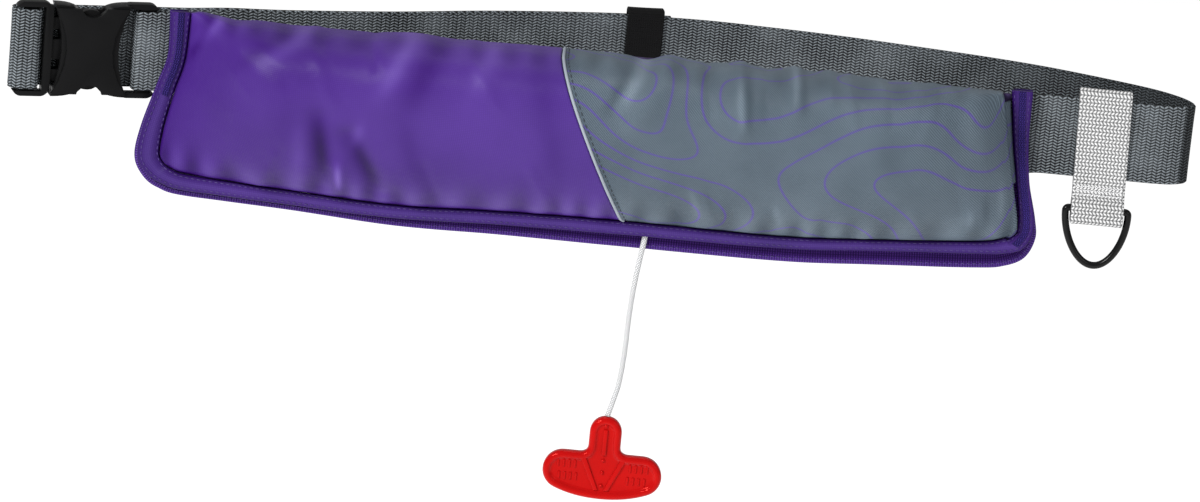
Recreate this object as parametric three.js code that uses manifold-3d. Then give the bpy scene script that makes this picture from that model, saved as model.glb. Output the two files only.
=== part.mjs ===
// An inflatable belt pack: a padded pouch on a webbing waist belt, with a side-release
// buckle, an accessory ring on a white tab, and a pull handle on a cord.
// Millimetres, +Z up. X runs to the right seen from the front, and the front faces -Y.
// The origin is the middle of the waist loop, at the webbing's mid height.
import * as THREE from 'three';
import Module from 'manifold-3d';
import { mergeVertices } from 'three/addons/utils/BufferGeometryUtils.js';

const wasm = await Module();
wasm.setup();

// Clearance between pieces that touch
const gap = 0.3;

// Waist webbing
const beltWidth = 38;
const beltThick = 1.6;
const rightReach = 78.2;
const loopDepth = 91;
const foldStart = 0.9362;
const sewnLength = 40;
const tailReach = 11.4;

// Pouch
const pouchLength = 427.6;
const pouchHeight = 95;
const pouchTop = 21;
const pouchShift = -2.8;
const pouchDepth = 38;
const coverWall = 1.6;
const panelThick = 3.4;
const bindingWidth = 9;
const bandWidth = 10;
const bandThick = 2;
const hemRise = 8;
const topSag = 3.8;
const mouthDepth = 3.4;
const endRounding = 58;
const seamTopX = -19;
const seamFootX = 16;
const freeEdge = 4.4;
const flapWidth = 15;
const stripWidth = 3.2;
const stripThick = 0.7;
const bladderMargin = 3.2;
const curlAngle = 18;
const curlLength = 41;
const curlFoot = 0.963;

// Side-release buckle
const buckleLength = 68;
const buckleStandoff = 4.1;
const foldSetback = 5;
const barClearance = 1.1;
const barThick = 3;
const railThick = 6;
const railWidth = 2.4;
const socketBarStart = 1.5;
const socketBarEnd = 9.5;
const socketSlot = 4.5;
const bodyLength = 36;
const bodyThick = 9.4;
const plugBaseDepth = 4;
const plugSlot = 3.2;
const plugBarLength = 7;
const bodyDent = 5;
const faceRaise = 1.4;
const tongueThick = 3.8;
const armInner = 9.5;
const armOuter = 15.2;
const prongHalf = 5.8;
const windowHalf = 6.6;
const windowRise = 6.4;

// Elastic keeper on the rear run
const keeperShift = 18.7;
const keeperWidth = 18;
const keeperThick = 1.3;
const keeperSlack = 2.2;
const keeperEase = 0.5;

// White webbing tab and its ring
const tabStandoff = 34.5;
const tabWidth = 25;
const tabThick = 1.7;
const tabRise = 3.6;
const tabLength = 66;
const tabLean = 0.038;
const stitchDrop = 3.5;
const stitchHeight = 5.5;
const ringStock = 3.4;
const ringDrop = 27.1;
const ringSlack = 6;

// Pull cord and handle
const cordX = 28.4;
const cordTop = 0.805;
const cordDrop = 100.5;
const cordSway = 10;
const cordDiameter = 2.6;
const handleSpan = 57;
const handleHeight = 41.2;
const handleThick = 6;
const stemWidth = 15.4;
const lobeRadius = 9.7;
const handleRounding = 1.4;
const lobeLift = 3.4;
const shoulderRound = 4;

const { lerp, clamp, smoothstep, degToRad } = THREE.MathUtils;

// The pouch's outline seen from the front, from the top left corner down, along the bottom
// and up to the top right corner. x is a share of half the pouch's length, down a share of
// its height, rise how far the hem stands above the back binding as a share of hemRise,
// and band the width of the front band as a share of bandWidth.
const outline = [
  { x: -0.943, down: 0.0, rise: 0.0, band: 0.95 },
  { x: -0.941, down: 0.221, rise: 0.0, band: 0.8 },
  { x: -0.96, down: 0.368, rise: 0.0, band: 0.82 },
  { x: -0.989, down: 0.579, rise: 0.0, band: 0.98 },
  { x: -1.0, down: 0.734, rise: 0.08, band: 1.05 },
  { x: -0.983, down: 0.832, rise: 0.25, band: 0.95 },
  { x: -0.946, down: 0.9, rise: 0.42, band: 0.82 },
  { x: -0.871, down: 0.942, rise: 0.5, band: 0.74 },
  { x: -0.632, down: 0.968, rise: 0.5, band: 0.68 },
  { x: -0.408, down: 0.995, rise: 0.66, band: 0.62 },
  { x: -0.188, down: 0.99, rise: 0.8, band: 0.64 },
  { x: 0.083, down: 0.99, rise: 0.92, band: 0.66 },
  { x: 0.434, down: 0.987, rise: 0.98, band: 0.58 },
  { x: 0.654, down: 0.958, rise: 1.04, band: 0.54 },
  { x: 0.874, down: 0.924, rise: 1.05, band: 0.6 },
  { x: 0.939, down: 0.9, rise: 0.95, band: 0.7 },
  { x: 0.981, down: 0.848, rise: 0.75, band: 0.8 },
  { x: 1.0, down: 0.747, rise: 0.35, band: 0.85 },
  { x: 0.994, down: 0.642, rise: 0.08, band: 0.75 },
  { x: 0.971, down: 0.447, rise: 0.0, band: 0.6 },
  { x: 0.96, down: 0.245, rise: 0.0, band: 0.72 },
  { x: 0.957, down: 0.0, rise: 0.0, band: 1.0 },
];

// How far the pouch's top edge and the belt behind it hang below its corners: x is a share of
// half the pouch's length, drop a share of topSag.
const topLine = [
  { x: -0.93, drop: 0.0 },
  { x: -0.78, drop: 1.0 },
  { x: -0.4, drop: 0.95 },
  { x: -0.1, drop: 0.6 },
  { x: 0.5, drop: 0.55 },
  { x: 0.9, drop: 0.7 },
  { x: 1.0, drop: 0.0 },
];
const leftCorner = 5.3;
const rightCorner = 17;
const leftStripFoot = 2.2;
const rightStripFoot = 16.4;

// The cover's section from the hem over the belly and the top to the back panel:
// out is a share of the pouch's depth, up a share of the cover's height.
const coverSection = [
  { out: 0.0, up: 0.0 },
  { out: 0.24, up: 0.075 },
  { out: 0.52, up: 0.21 },
  { out: 0.76, up: 0.38 },
  { out: 0.93, up: 0.56 },
  { out: 1.0, up: 0.72 },
  { out: 0.97, up: 0.86 },
  { out: 0.82, up: 0.95 },
  { out: 0.56, up: 0.996 },
  { out: 0.26, up: 1.004 },
  { out: 0.0, up: 1.0 },
];

// Folds of the covers: x shares of half the pouch's length and down shares of its height at
// both ends, reach a share of the height, lift a share of the depth, a crease below zero.
const folds = [
  { x1: -0.37, down1: -0.06, x2: -0.46, down2: 0.24, reach: 0.13, lift: 0.045 },
  { x1: -0.585, down1: 0.39, x2: -0.57, down2: 0.77, reach: 0.065, lift: -0.05 },
  { x1: -0.52, down1: 0.47, x2: -0.443, down2: 0.79, reach: 0.06, lift: -0.055 },
  { x1: -0.541, down1: 0.65, x2: -0.536, down2: 0.8, reach: 0.05, lift: 0.045 },
  { x1: -0.74, down1: 0.1, x2: -0.66, down2: 0.5, reach: 0.09, lift: 0.03 },
  { x1: 0.13, down1: -0.05, x2: 0.058, down2: 0.19, reach: 0.06, lift: -0.05 },
  { x1: 0.18, down1: -0.05, x2: 0.1, down2: 0.24, reach: 0.06, lift: 0.045 },
  { x1: 0.314, down1: 0.03, x2: 0.327, down2: 0.23, reach: 0.05, lift: 0.05 },
  { x1: 0.43, down1: -0.04, x2: 0.438, down2: 0.12, reach: 0.045, lift: 0.045 },
  { x1: 0.506, down1: -0.06, x2: 0.509, down2: 0.06, reach: 0.045, lift: 0.04 },
  { x1: 0.3, down1: 0.7, x2: 0.33, down2: 0.85, reach: 0.045, lift: 0.035 },
  { x1: 0.9, down1: 0.5, x2: 0.915, down2: 0.69, reach: 0.05, lift: 0.04 },
  { x1: 0.84, down1: 0.62, x2: 0.85, down2: 0.72, reach: 0.045, lift: 0.035 },
];

// The rear run of the belt seen from above, from the right fold to the left end of the pouch:
// x is a share of half the loop's span from its middle, back a share of its depth behind the
// front run.
const rearRun = [
  { x: 0.9717, back: 0.02 },
  { x: 0.9954, back: 0.088 },
  { x: 0.9899, back: 0.192 },
  { x: 0.9616, back: 0.313 },
  { x: 0.918, back: 0.418 },
  { x: 0.8411, back: 0.549 },
  { x: 0.7582, back: 0.67 },
  { x: 0.6722, back: 0.758 },
  { x: 0.5851, back: 0.824 },
  { x: 0.4131, back: 0.934 },
  { x: 0.2765, back: 0.983 },
  { x: 0.1511, back: 1.0 },
  { x: 0.0064, back: 0.925 },
  { x: -0.195, back: 0.703 },
  { x: -0.364, back: 0.451 },
  { x: -0.534, back: 0.25 },
  { x: -0.6311, back: 0.17 },
];

// The pull cord's route below the hem, chosen by hand: aside is a share of the cord's sway
// towards the left, down a share of its drop.
const cordRoute = [
  { aside: 0.0, down: 0.0 },
  { aside: 0.02, down: 0.065 },
  { aside: 0.1, down: 0.144 },
  { aside: 0.22, down: 0.239 },
  { aside: 0.34, down: 0.343 },
  { aside: 0.42, down: 0.453 },
  { aside: 0.46, down: 0.562 },
  { aside: 0.48, down: 0.662 },
  { aside: 0.54, down: 0.761 },
  { aside: 0.64, down: 0.851 },
  { aside: 0.82, down: 0.93 },
  { aside: 1.0, down: 1.0 },
];

// Levels from the belt forwards
const frontRunY = -loopDepth / 2;
const layerPitch = beltThick + gap;
const panelBackY = frontRunY - beltThick / 2 - gap;
const panelFrontY = panelBackY - panelThick;
const sheetY = panelFrontY - gap;
const pouchHalf = pouchLength / 2;
const curlStart = pouchShift - pouchHalf * curlFoot + curlLength;

// The left end of the belt and pouch curls a little towards the front
function curl(point) {
  const beyond = curlStart - point.x;
  if (beyond <= 0) return point;
  const full = degToRad(curlAngle);
  const radius = curlLength / full;
  const angle = full * Math.min(1, beyond / curlLength);
  const straight = Math.max(0, beyond - curlLength);
  const offset = radius + point.y - frontRunY;
  point.x = curlStart - offset * Math.sin(angle) - straight * Math.cos(angle);
  point.y = frontRunY - radius + offset * Math.cos(angle) - straight * Math.sin(angle);
  return point;
}

// The faces between rings of equal length, each ring joined to the next
function ringFaces(count, around, joined) {
  const faces = [];
  const last = joined ? count : count - 1;
  for (let i = 0; i < last; i += 1) {
    const a = i * around;
    const b = ((i + 1) % count) * around;
    for (let j = 0; j < around; j += 1) {
      const k = (j + 1) % around;
      faces.push(a + j, b + j, b + k, a + j, b + k, a + k);
    }
  }
  return faces;
}

function fromRings(rings, faces) {
  const corners = rings.flat().flatMap((p) => [p.x, p.y, p.z]);
  const geometry = new THREE.BufferGeometry();
  geometry.setAttribute('position', new THREE.Float32BufferAttribute(corners, 3));
  geometry.setIndex(faces);
  if (signedVolume(geometry) < 0) geometry.setIndex(faces.toReversed());
  return geometry;
}

// A closed body through rings, capped at both ends or joined end to end
function loft(rings, joined = false) {
  const around = rings[0].length;
  const faces = ringFaces(rings.length, around, joined);
  const end = (rings.length - 1) * around;
  for (let j = 1; !joined && j < around - 1; j += 1) {
    faces.push(0, j, j + 1, end, end + j + 1, end + j);
  }
  return fromRings(rings, faces);
}

// A closed sheet between a front and a back grid of points
function sheet(columns, rows, frontAt, backAt) {
  const shares = Array.from({ length: rows + 1 }, (_, j) => j / rows);
  const rings = Array.from({ length: columns + 1 }, (_, i) => [
    ...shares.map((v) => frontAt(i / columns, v)),
    ...shares.toReversed().map((v) => backAt(i / columns, v)),
  ]);
  const around = 2 * (rows + 1);
  const faces = ringFaces(columns + 1, around, false);
  const end = columns * around;
  for (let j = 0; j < rows; j += 1) {
    const [a, b, c, d] = [j, j + 1, around - 2 - j, around - 1 - j];
    faces.push(a, b, c, a, c, d);
    faces.push(end + a, end + c, end + b, end + a, end + d, end + c);
  }
  return fromRings(rings, faces);
}

// The volume inside the faces, which is negative where they point inwards
function signedVolume(geometry) {
  const index = geometry.index.array;
  const place = geometry.attributes.position;
  const [a, b, c] = [new THREE.Vector3(), new THREE.Vector3(), new THREE.Vector3()];
  let sum = 0;
  for (let i = 0; i < index.length; i += 3) {
    a.fromBufferAttribute(place, index[i]);
    b.fromBufferAttribute(place, index[i + 1]);
    c.fromBufferAttribute(place, index[i + 2]);
    sum += a.dot(b.cross(c)) / 6;
  }
  return sum;
}

function curled(geometry) {
  const place = geometry.attributes.position;
  const point = new THREE.Vector3();
  for (let i = 0; i < place.count; i += 1) {
    curl(point.fromBufferAttribute(place, i));
    place.setXYZ(i, point.x, point.y, point.z);
  }
  return geometry;
}

function toSolid(geometry) {
  const bare = geometry.clone();
  bare.deleteAttribute('normal');
  bare.deleteAttribute('uv');
  const merged = mergeVertices(bare, 1e-4);
  return new wasm.Manifold(new wasm.Mesh({
    numProp: 3,
    vertProperties: new Float32Array(merged.attributes.position.array),
    triVerts: new Uint32Array(merged.index.array),
  }));
}

function toGeometry(solid) {
  const mesh = solid.getMesh();
  const geometry = new THREE.BufferGeometry();
  geometry.setAttribute('position', new THREE.Float32BufferAttribute(mesh.vertProperties, 3));
  geometry.setIndex(Array.from(mesh.triVerts));
  return geometry;
}

// A plate drawn from the front as x and z, from level y towards the front
function plate(shape, y, thick, options = {}) {
  const geometry = new THREE.ExtrudeGeometry(shape, {
    depth: thick, bevelEnabled: false, curveSegments: 6, ...options,
  });
  const toFront = new THREE.Matrix4().makeBasis(
    new THREE.Vector3(1, 0, 0), new THREE.Vector3(0, 0, 1), new THREE.Vector3(0, -1, 0));
  return geometry.applyMatrix4(toFront).translate(0, y, 0);
}

// A length along X whose section is drawn as y and z
function bar(shape, x, length) {
  const geometry = new THREE.ExtrudeGeometry(shape, {
    depth: length, bevelEnabled: false, curveSegments: 6,
  });
  const alongX = new THREE.Matrix4().makeBasis(
    new THREE.Vector3(0, 1, 0), new THREE.Vector3(0, 0, 1), new THREE.Vector3(1, 0, 0));
  return geometry.applyMatrix4(alongX).translate(x, 0, 0);
}

function box(x1, x2, y1, y2, z1, z2) {
  const size = new THREE.BoxGeometry(Math.abs(x2 - x1), Math.abs(y2 - y1), Math.abs(z2 - z1));
  return size.translate((x1 + x2) / 2, (y1 + y2) / 2, (z1 + z2) / 2);
}

function roundedBox(x1, x2, z1, z2, radius) {
  const shape = new THREE.Shape();
  shape.moveTo(x1 + radius, z1);
  shape.lineTo(x2 - radius, z1);
  shape.absarc(x2 - radius, z1 + radius, radius, -Math.PI / 2, 0);
  shape.lineTo(x2, z2 - radius);
  shape.absarc(x2 - radius, z2 - radius, radius, 0, Math.PI / 2);
  shape.lineTo(x1 + radius, z2);
  shape.absarc(x1 + radius, z2 - radius, radius, Math.PI / 2, Math.PI);
  shape.lineTo(x1, z1 + radius);
  shape.absarc(x1 + radius, z1 + radius, radius, Math.PI, 1.5 * Math.PI);
  return shape;
}

function piece(name, geometry, color, roughness, metalness = 0) {
  const material = new THREE.MeshStandardMaterial({ color, roughness, metalness });
  const mesh = new THREE.Mesh(geometry, material);
  mesh.name = name;
  return mesh;
}

const purple = 0x563a8c;
const grey = 0x5c6b76;
const webbingGrey = 0x555b60;
const black = 0x161616;

// Pouch: outline, insets and levels

const outlineCurve = new THREE.SplineCurve(outline.map((row) => new THREE.Vector2(
  pouchShift + row.x * pouchHalf, pouchTop - row.down * pouchHeight)));
const trimCurve = new THREE.SplineCurve(outline.map((row) => new THREE.Vector2(
  row.rise * hemRise, row.band * bandWidth)));
const lastRow = outline.length - 1;

// A point of the outline at a row, moved in by a distance
function rimPoint(row, inset) {
  const t = row / lastRow;
  const step = 0.02 / lastRow;
  const before = outlineCurve.getPoint(Math.max(0, t - step));
  const after = outlineCurve.getPoint(Math.min(1, t + step));
  const along = after.sub(before).normalize();
  const at = outlineCurve.getPoint(t);
  const point = new THREE.Vector2(at.x - along.y * inset, at.y + along.x * inset);
  // The pieces end level with the top of the pouch
  if (row === 0 || row === lastRow) point.y = pouchTop;
  return point;
}

const riseAt = (row) => trimCurve.getPoint(row / lastRow).x;
const bandAt = (row) => trimCurve.getPoint(row / lastRow).y;
const coverInset = (row) => riseAt(row) + bandAt(row) + gap;

// The hem stands forward of the back binding, so that the cord can leave between them
const mouthAt = (row) => mouthDepth * smoothstep(riseAt(row) / hemRise, 0.1, 0.6);

function resample(points, key) {
  const first = points[0][key];
  const last = points[points.length - 1][key];
  return (share) => {
    const target = lerp(first, last, share);
    const ahead = (p) => (p[key] - target) * Math.sign(last - first) >= 0;
    const i = clamp(points.findIndex(ahead), 1, points.length - 1);
    const [a, b] = [points[i - 1], points[i]];
    const part = clamp((target - a[key]) / (b[key] - a[key]), 0, 1);
    return a.clone().lerp(b, part);
  };
}

// How far the top edge hangs below the pouch's corners at a place along the belt
function topDrop(x) {
  const share = (x - pouchShift) / pouchHalf;
  const i = topLine.findIndex((row) => row.x > share);
  if (i < 1) return 0;
  const [a, b] = [topLine[i - 1], topLine[i]];
  return topSag * lerp(a.drop, b.drop, smoothstep(share, a.x, b.x));
}

// A sheet over the outline, moved in by an inset: u runs to the right, w runs up
function outlinePatch(insetAt) {
  const steps = 60;
  const rim = (from, to) => Array.from({ length: steps + 1 }, (_, i) => {
    const row = lerp(from, to, i / steps);
    return rimPoint(row, insetAt(row));
  });
  const left = resample(rim(leftCorner, 0), 'y');
  const right = resample(rim(rightCorner, lastRow), 'y');
  const bottom = resample(rim(leftCorner, rightCorner), 'x');
  const top = (u) => left(1).clone().lerp(right(1), u);
  return (u, w) => {
    const corner = left(0).lerp(right(0), u).multiplyScalar(1 - w).add(top(u).multiplyScalar(w));
    const rise = bottom(u).multiplyScalar(1 - w).add(top(u).multiplyScalar(w));
    const across = left(w).lerp(right(w), u);
    const point = rise.add(across).sub(corner);
    point.y -= topDrop(point.x) * w;
    return point;
  };
}

const coverPatch = outlinePatch(coverInset);
const panelPatch = outlinePatch(() => bindingWidth + 2 * gap);
const sectionCurve = new THREE.SplineCurve(
  coverSection.map((row) => new THREE.Vector2(row.out, row.up)));
const hemRow = (u) => lerp(leftCorner, rightCorner, u);

// How far the pouch swells at a share of its length
function swell(u) {
  const side = clamp(Math.min(u, 1 - u) * pouchLength / endRounding, 0, 1);
  return Math.sin(side * Math.PI / 2) ** 0.85;
}

function foldLift(x, z) {
  const at = new THREE.Vector2(x, z);
  let lift = 0;
  for (const row of folds) {
    const from = new THREE.Vector2(
      pouchShift + row.x1 * pouchHalf, pouchTop - row.down1 * pouchHeight);
    const to = new THREE.Vector2(
      pouchShift + row.x2 * pouchHalf, pouchTop - row.down2 * pouchHeight);
    const line = to.clone().sub(from);
    const part = clamp(at.clone().sub(from).dot(line) / line.lengthSq(), 0, 1);
    const away = at.distanceTo(from.addScaledVector(line, part));
    lift += row.lift * pouchDepth * Math.exp(-((away / (row.reach * pouchHeight)) ** 2));
  }
  return lift;
}

// The inner face of the covers before their folds: v runs from the hem over the top
function skin(u, v) {
  const profile = sectionCurve.getPoint(v);
  const place = coverPatch(u, Math.min(1, profile.y));
  const crown = Math.max(0, profile.y - 1) * pouchHeight;
  const hem = mouthAt(hemRow(u)) * (1 - smoothstep(v, 0, 0.5));
  const out = profile.x * pouchDepth * swell(u);
  return new THREE.Vector3(place.x, sheetY - hem - out, place.y + crown * swell(u));
}

function skinNormal(u, v) {
  const step = 0.004;
  const u1 = clamp(u - step, 0, 1);
  const u2 = clamp(u + step, 0, 1);
  const v1 = clamp(v - step, 0, 1);
  const v2 = clamp(v + step, 0, 1);
  const along = skin(u2, v).sub(skin(u1, v));
  const up = skin(u, v2).sub(skin(u, v1));
  return along.cross(up).normalize();
}

// The folded skin at a height above the inner face. The sewn edges lie flat, so that their
// thickness points to the front.
function cover(u, v, height, lift = 0) {
  const base = skin(u, v);
  const fold = foldLift(base.x, base.z) * swell(u) * smoothstep(v, 0, 0.12);
  const free = Math.min(1, 4 * swell(u)) * smoothstep(v, 0, 0.1);
  const outward = new THREE.Vector3(0, -1, 0).lerp(skinNormal(u, v), free).normalize();
  const point = base.clone().addScaledVector(outward, fold + height);
  point.y -= lift;
  if (v === 1) point.y = base.y;
  return point;
}

// The share of the length where the slanting seam between the two covers lies
function seamShare(v, offset) {
  const up = Math.min(1, sectionCurve.getPoint(v).y);
  const target = lerp(seamFootX, seamTopX, up) + offset;
  let [low, high] = [0, 1];
  for (let i = 0; i < 24; i += 1) {
    const middle = (low + high) / 2;
    if (coverPatch(middle, up).x < target) low = middle;
    else high = middle;
  }
  return (low + high) / 2;
}

const coverColumns = 34;
const coverRows = 12;

const coverLeft = sheet(coverColumns, coverRows,
  (t, v) => cover(t * seamShare(v, -gap / 2), v, coverWall),
  (t, v) => cover(t * seamShare(v, -gap / 2), v, 0));

// The right end of the cover is free: it lies over the closure flap
const flapRise = coverWall + 3 * gap;
const flapShare = flapWidth / pouchLength;
const flapFoot = 0.3;
const flapHead = 0.72;
const rightLift = (u) => flapRise * smoothstep(u, 1 - 2.4 * flapShare, 1 - flapShare);

function rightShare(t, v) {
  const up = Math.min(1, sectionCurve.getPoint(v).y);
  const end = 1 - freeEdge * up / pouchLength;
  return lerp(seamShare(v, gap / 2), end, t);
}

function rightCoverPoint(t, v, height) {
  const u = rightShare(t, v);
  return cover(u, v, height, rightLift(u) * smoothstep(v, 0, 0.12));
}

const coverRight = sheet(coverColumns, coverRows,
  (t, v) => rightCoverPoint(t, v, coverWall), (t, v) => rightCoverPoint(t, v, 0));

// The flap lies along the inner face of the cover, as thick as the cover
function flapPoint(t, s, height) {
  const base = skin(lerp(1 - flapShare, 1, t), lerp(flapFoot, flapHead, s));
  base.y -= height;
  return base;
}

const closureFlap = sheet(4, 8,
  (t, s) => flapPoint(t, s, coverWall), (t, s) => flapPoint(t, s, 0));

// The folded bladder that fills the pouch, one plain closed form with a flat back. Its bounds
// are shares of the cover's length and of its section.
const bladderBounds = { left: 0.1, right: 0.93, foot: 0.16, head: 0.9 };

function bladderFront(t, s) {
  const u = lerp(bladderBounds.left, bladderBounds.right, t);
  const v = lerp(bladderBounds.foot, bladderBounds.head, s);
  return skin(u, v).addScaledVector(skinNormal(u, v), -bladderMargin);
}

const foldedBladder = sheet(24, 8, bladderFront, (t, s) => {
  const point = bladderFront(t, s);
  point.y = sheetY;
  return point;
});

const panelPoint = (y) => (u, w) => {
  const place = panelPatch(u, w);
  return new THREE.Vector3(place.x, y, place.y);
};
const backPanel = sheet(22, 8, panelPoint(panelFrontY), panelPoint(panelBackY));

// A flat strip along the outline between two insets and two levels
function rimStrip(fromRow, toRow, steps, outerAt, innerAt, backAt, frontAt) {
  const rings = [];
  for (let i = 0; i <= steps; i += 1) {
    const row = lerp(fromRow, toRow, i / steps);
    const outer = rimPoint(row, outerAt(row));
    const inner = rimPoint(row, innerAt(row));
    rings.push([
      new THREE.Vector3(outer.x, backAt(row), outer.y),
      new THREE.Vector3(outer.x, frontAt(row), outer.y),
      new THREE.Vector3(inner.x, frontAt(row), inner.y),
      new THREE.Vector3(inner.x, backAt(row), inner.y),
    ]);
  }
  return loft(rings);
}

const rimSteps = 80;
const backBinding = rimStrip(0, lastRow, rimSteps,
  () => 0, () => bindingWidth, () => panelBackY, () => panelFrontY);

const bandBack = (row) => sheetY - mouthAt(row);
const frontBand = rimStrip(0, lastRow, rimSteps, riseAt,
  (row) => riseAt(row) + bandAt(row), bandBack, (row) => bandBack(row) - bandThick);

// Navy strips sewn on the side bands
const stripBack = (row) => bandBack(row) - bandThick - gap;
const stripInset = (row) => riseAt(row) + (bandAt(row) - stripWidth) / 2;
const stripFront = (row) => stripBack(row) - stripThick;
const closureStripLeft = rimStrip(0, leftStripFoot, 16,
  stripInset, (row) => stripInset(row) + stripWidth, stripBack, stripFront);
const closureStripRight = rimStrip(rightStripFoot, lastRow, 16,
  stripInset, (row) => stripInset(row) + stripWidth, stripBack, stripFront);

// Buckle levels and places: u runs from the socket's end to the plug's end

const buckleEndX = rimPoint(0, 0).x - buckleStandoff;
const barY = frontRunY + beltThick / 2 + gap + barThick / 2;
const wrapRadius = barThick / 2 + gap + beltThick / 2;
const buckleBackY = barY + bodyThick / 2;
const rearLeftY = buckleBackY + 2 * gap + beltThick / 2;

// Waist webbing: one strap. It is sewn round the socket's bar, runs behind the pouch, round
// the right fold and the back, and round the plug's bar, and its tail lies on the rear run.

function arc(centreX, centreY, radius, from, to, steps) {
  return Array.from({ length: steps + 1 }, (_, i) => {
    const angle = degToRad(lerp(from, to, i / steps));
    return new THREE.Vector2(
      centreX + radius * Math.cos(angle), centreY + radius * Math.sin(angle));
  });
}

const socketBarX = buckleEndX - socketBarEnd + barThick / 2;
const bodyFrom = socketBarEnd + socketSlot;
const bodyTo = bodyFrom + bodyLength;
const plugBarStart = bodyTo + plugBaseDepth + plugSlot;
const plugBarX = buckleEndX - plugBarStart - barThick / 2;
const backLayerY = barY + wrapRadius;
const hairpin = (rearLeftY - backLayerY) / 2;
const outerFold = (rearLeftY + layerPitch - frontRunY) / 2;
const outerFoldX = buckleEndX - buckleLength + foldSetback;
const hairpinX = outerFoldX + 2 * layerPitch;

// The loop reaches from the fold at the buckle to the fold beyond the pouch's right end
const loopLeftX = outerFoldX - outerFold - beltThick / 2;
const pouchRightX = rimPoint(lastRow, 0).x;
const loopHalf = (pouchRightX + rightReach - loopLeftX) / 2;
const loopMiddleX = loopLeftX + loopHalf;
const keeperX = loopMiddleX + keeperShift;
const foldStartX = loopMiddleX + loopHalf * foldStart;

const rearCurve = new THREE.SplineCurve([
  new THREE.Vector2(foldStartX, frontRunY),
  ...rearRun.map((row) => new THREE.Vector2(
    loopMiddleX + row.x * loopHalf, frontRunY + row.back * loopDepth)),
  new THREE.Vector2(buckleEndX + 0.35 * sewnLength, rearLeftY + 2 * gap),
  new THREE.Vector2(buckleEndX - 0.15 * sewnLength, rearLeftY),
]);
const rearPoints = rearCurve.getPoints(72);
const rearWhole = [...rearPoints, new THREE.Vector2(hairpinX, rearLeftY)];

function offsetLine(points, distance) {
  return points.map((point, i) => {
    const before = points[Math.max(0, i - 1)];
    const after = points[Math.min(points.length - 1, i + 1)];
    const along = after.clone().sub(before).normalize();
    return new THREE.Vector2(point.x + along.y * distance, point.y - along.x * distance);
  });
}

// The tail ends just beyond the keeper
const tailWhole = offsetLine(rearWhole, layerPitch);
const tailEndX = keeperX + tailReach;
const tailFrom = rearWhole.findIndex((point) => point.x < tailEndX);
const tailPart = (rearWhole[tailFrom - 1].x - tailEndX)
  / (rearWhole[tailFrom - 1].x - rearWhole[tailFrom].x);
const tailLine = [
  tailWhole[tailFrom - 1].clone().lerp(tailWhole[tailFrom], tailPart),
  ...tailWhole.slice(tailFrom),
].toReversed();
const sewnY = frontRunY + layerPitch;
const beltLine = [
  new THREE.Vector2(buckleEndX + sewnLength, sewnY),
  new THREE.Vector2(buckleEndX + 0.6 * sewnLength, sewnY),
  new THREE.Vector2(buckleEndX + 0.3 * sewnLength, sewnY + gap),
  new THREE.Vector2(buckleEndX, backLayerY),
  ...arc(socketBarX, barY, wrapRadius, 90, 270, 8),
  ...[0, 0.02, 0.04, 0.06, 0.09, 0.12, 0.3, 0.5, 0.7, 0.85, 0.9].map(
    (share) => new THREE.Vector2(lerp(buckleEndX, foldStartX, share), frontRunY)),
  ...rearWhole.slice(0, -1),
  ...arc(hairpinX, backLayerY + hairpin, hairpin, 90, 270, 6),
  ...arc(plugBarX, barY, wrapRadius, 90, -90, 8),
  ...arc(outerFoldX, frontRunY + outerFold, outerFold, 270, 90, 8),
  ...tailLine.slice(1),
];

// The front run and the layer sewn to it hang with the pouch's top edge
const runLevel = (point) => (
  point.y < frontRunY + 1.5 * layerPitch ? -topDrop(point.x) : 0);

function ribbon(line, width, thick) {
  const left = offsetLine(line, thick / 2);
  const right = offsetLine(line, -thick / 2);
  return loft(line.map((point, i) => {
    const foot = runLevel(point) - width / 2;
    const head = runLevel(point) + width / 2;
    return [
      new THREE.Vector3(left[i].x, left[i].y, foot),
      new THREE.Vector3(left[i].x, left[i].y, head),
      new THREE.Vector3(right[i].x, right[i].y, head),
      new THREE.Vector3(right[i].x, right[i].y, foot),
    ];
  }));
}

const beltWebbing = ribbon(beltLine, beltWidth, beltThick);

// Buckle: drawn with its end at x = 0 and its length towards -X, at the level of its bars

const slotHalf = beltWidth / 2 + barClearance;
const halfHeight = slotHalf + railWidth;
const bodyMiddle = -(bodyFrom + bodyTo) / 2;
const bodyHalf = halfHeight - 2 * gap;
const plugEnd = bodyTo + 5 * gap;

function railFrame(from, to) {
  const outer = toSolid(plate(
    roundedBox(-to, -from, -halfHeight, halfHeight, 4.5), railThick / 2, railThick));
  const inner = toSolid(box(-to - 1, -from + 1, -railThick, railThick, -slotHalf, slotHalf));
  return outer.subtract(inner);
}

// The flat bar that the webbing goes round, between the two rails, with round edges
function flatBar(from, to) {
  const round = barThick / 2 - 0.01;
  const section = roundedBox(-to, -from, -barThick / 2, barThick / 2, round);
  const length = 2 * slotHalf + 1;
  const geometry = new THREE.ExtrudeGeometry(section, {
    depth: length, bevelEnabled: false, curveSegments: 5,
  });
  return toSolid(geometry.translate(0, 0, -length / 2));
}

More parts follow.
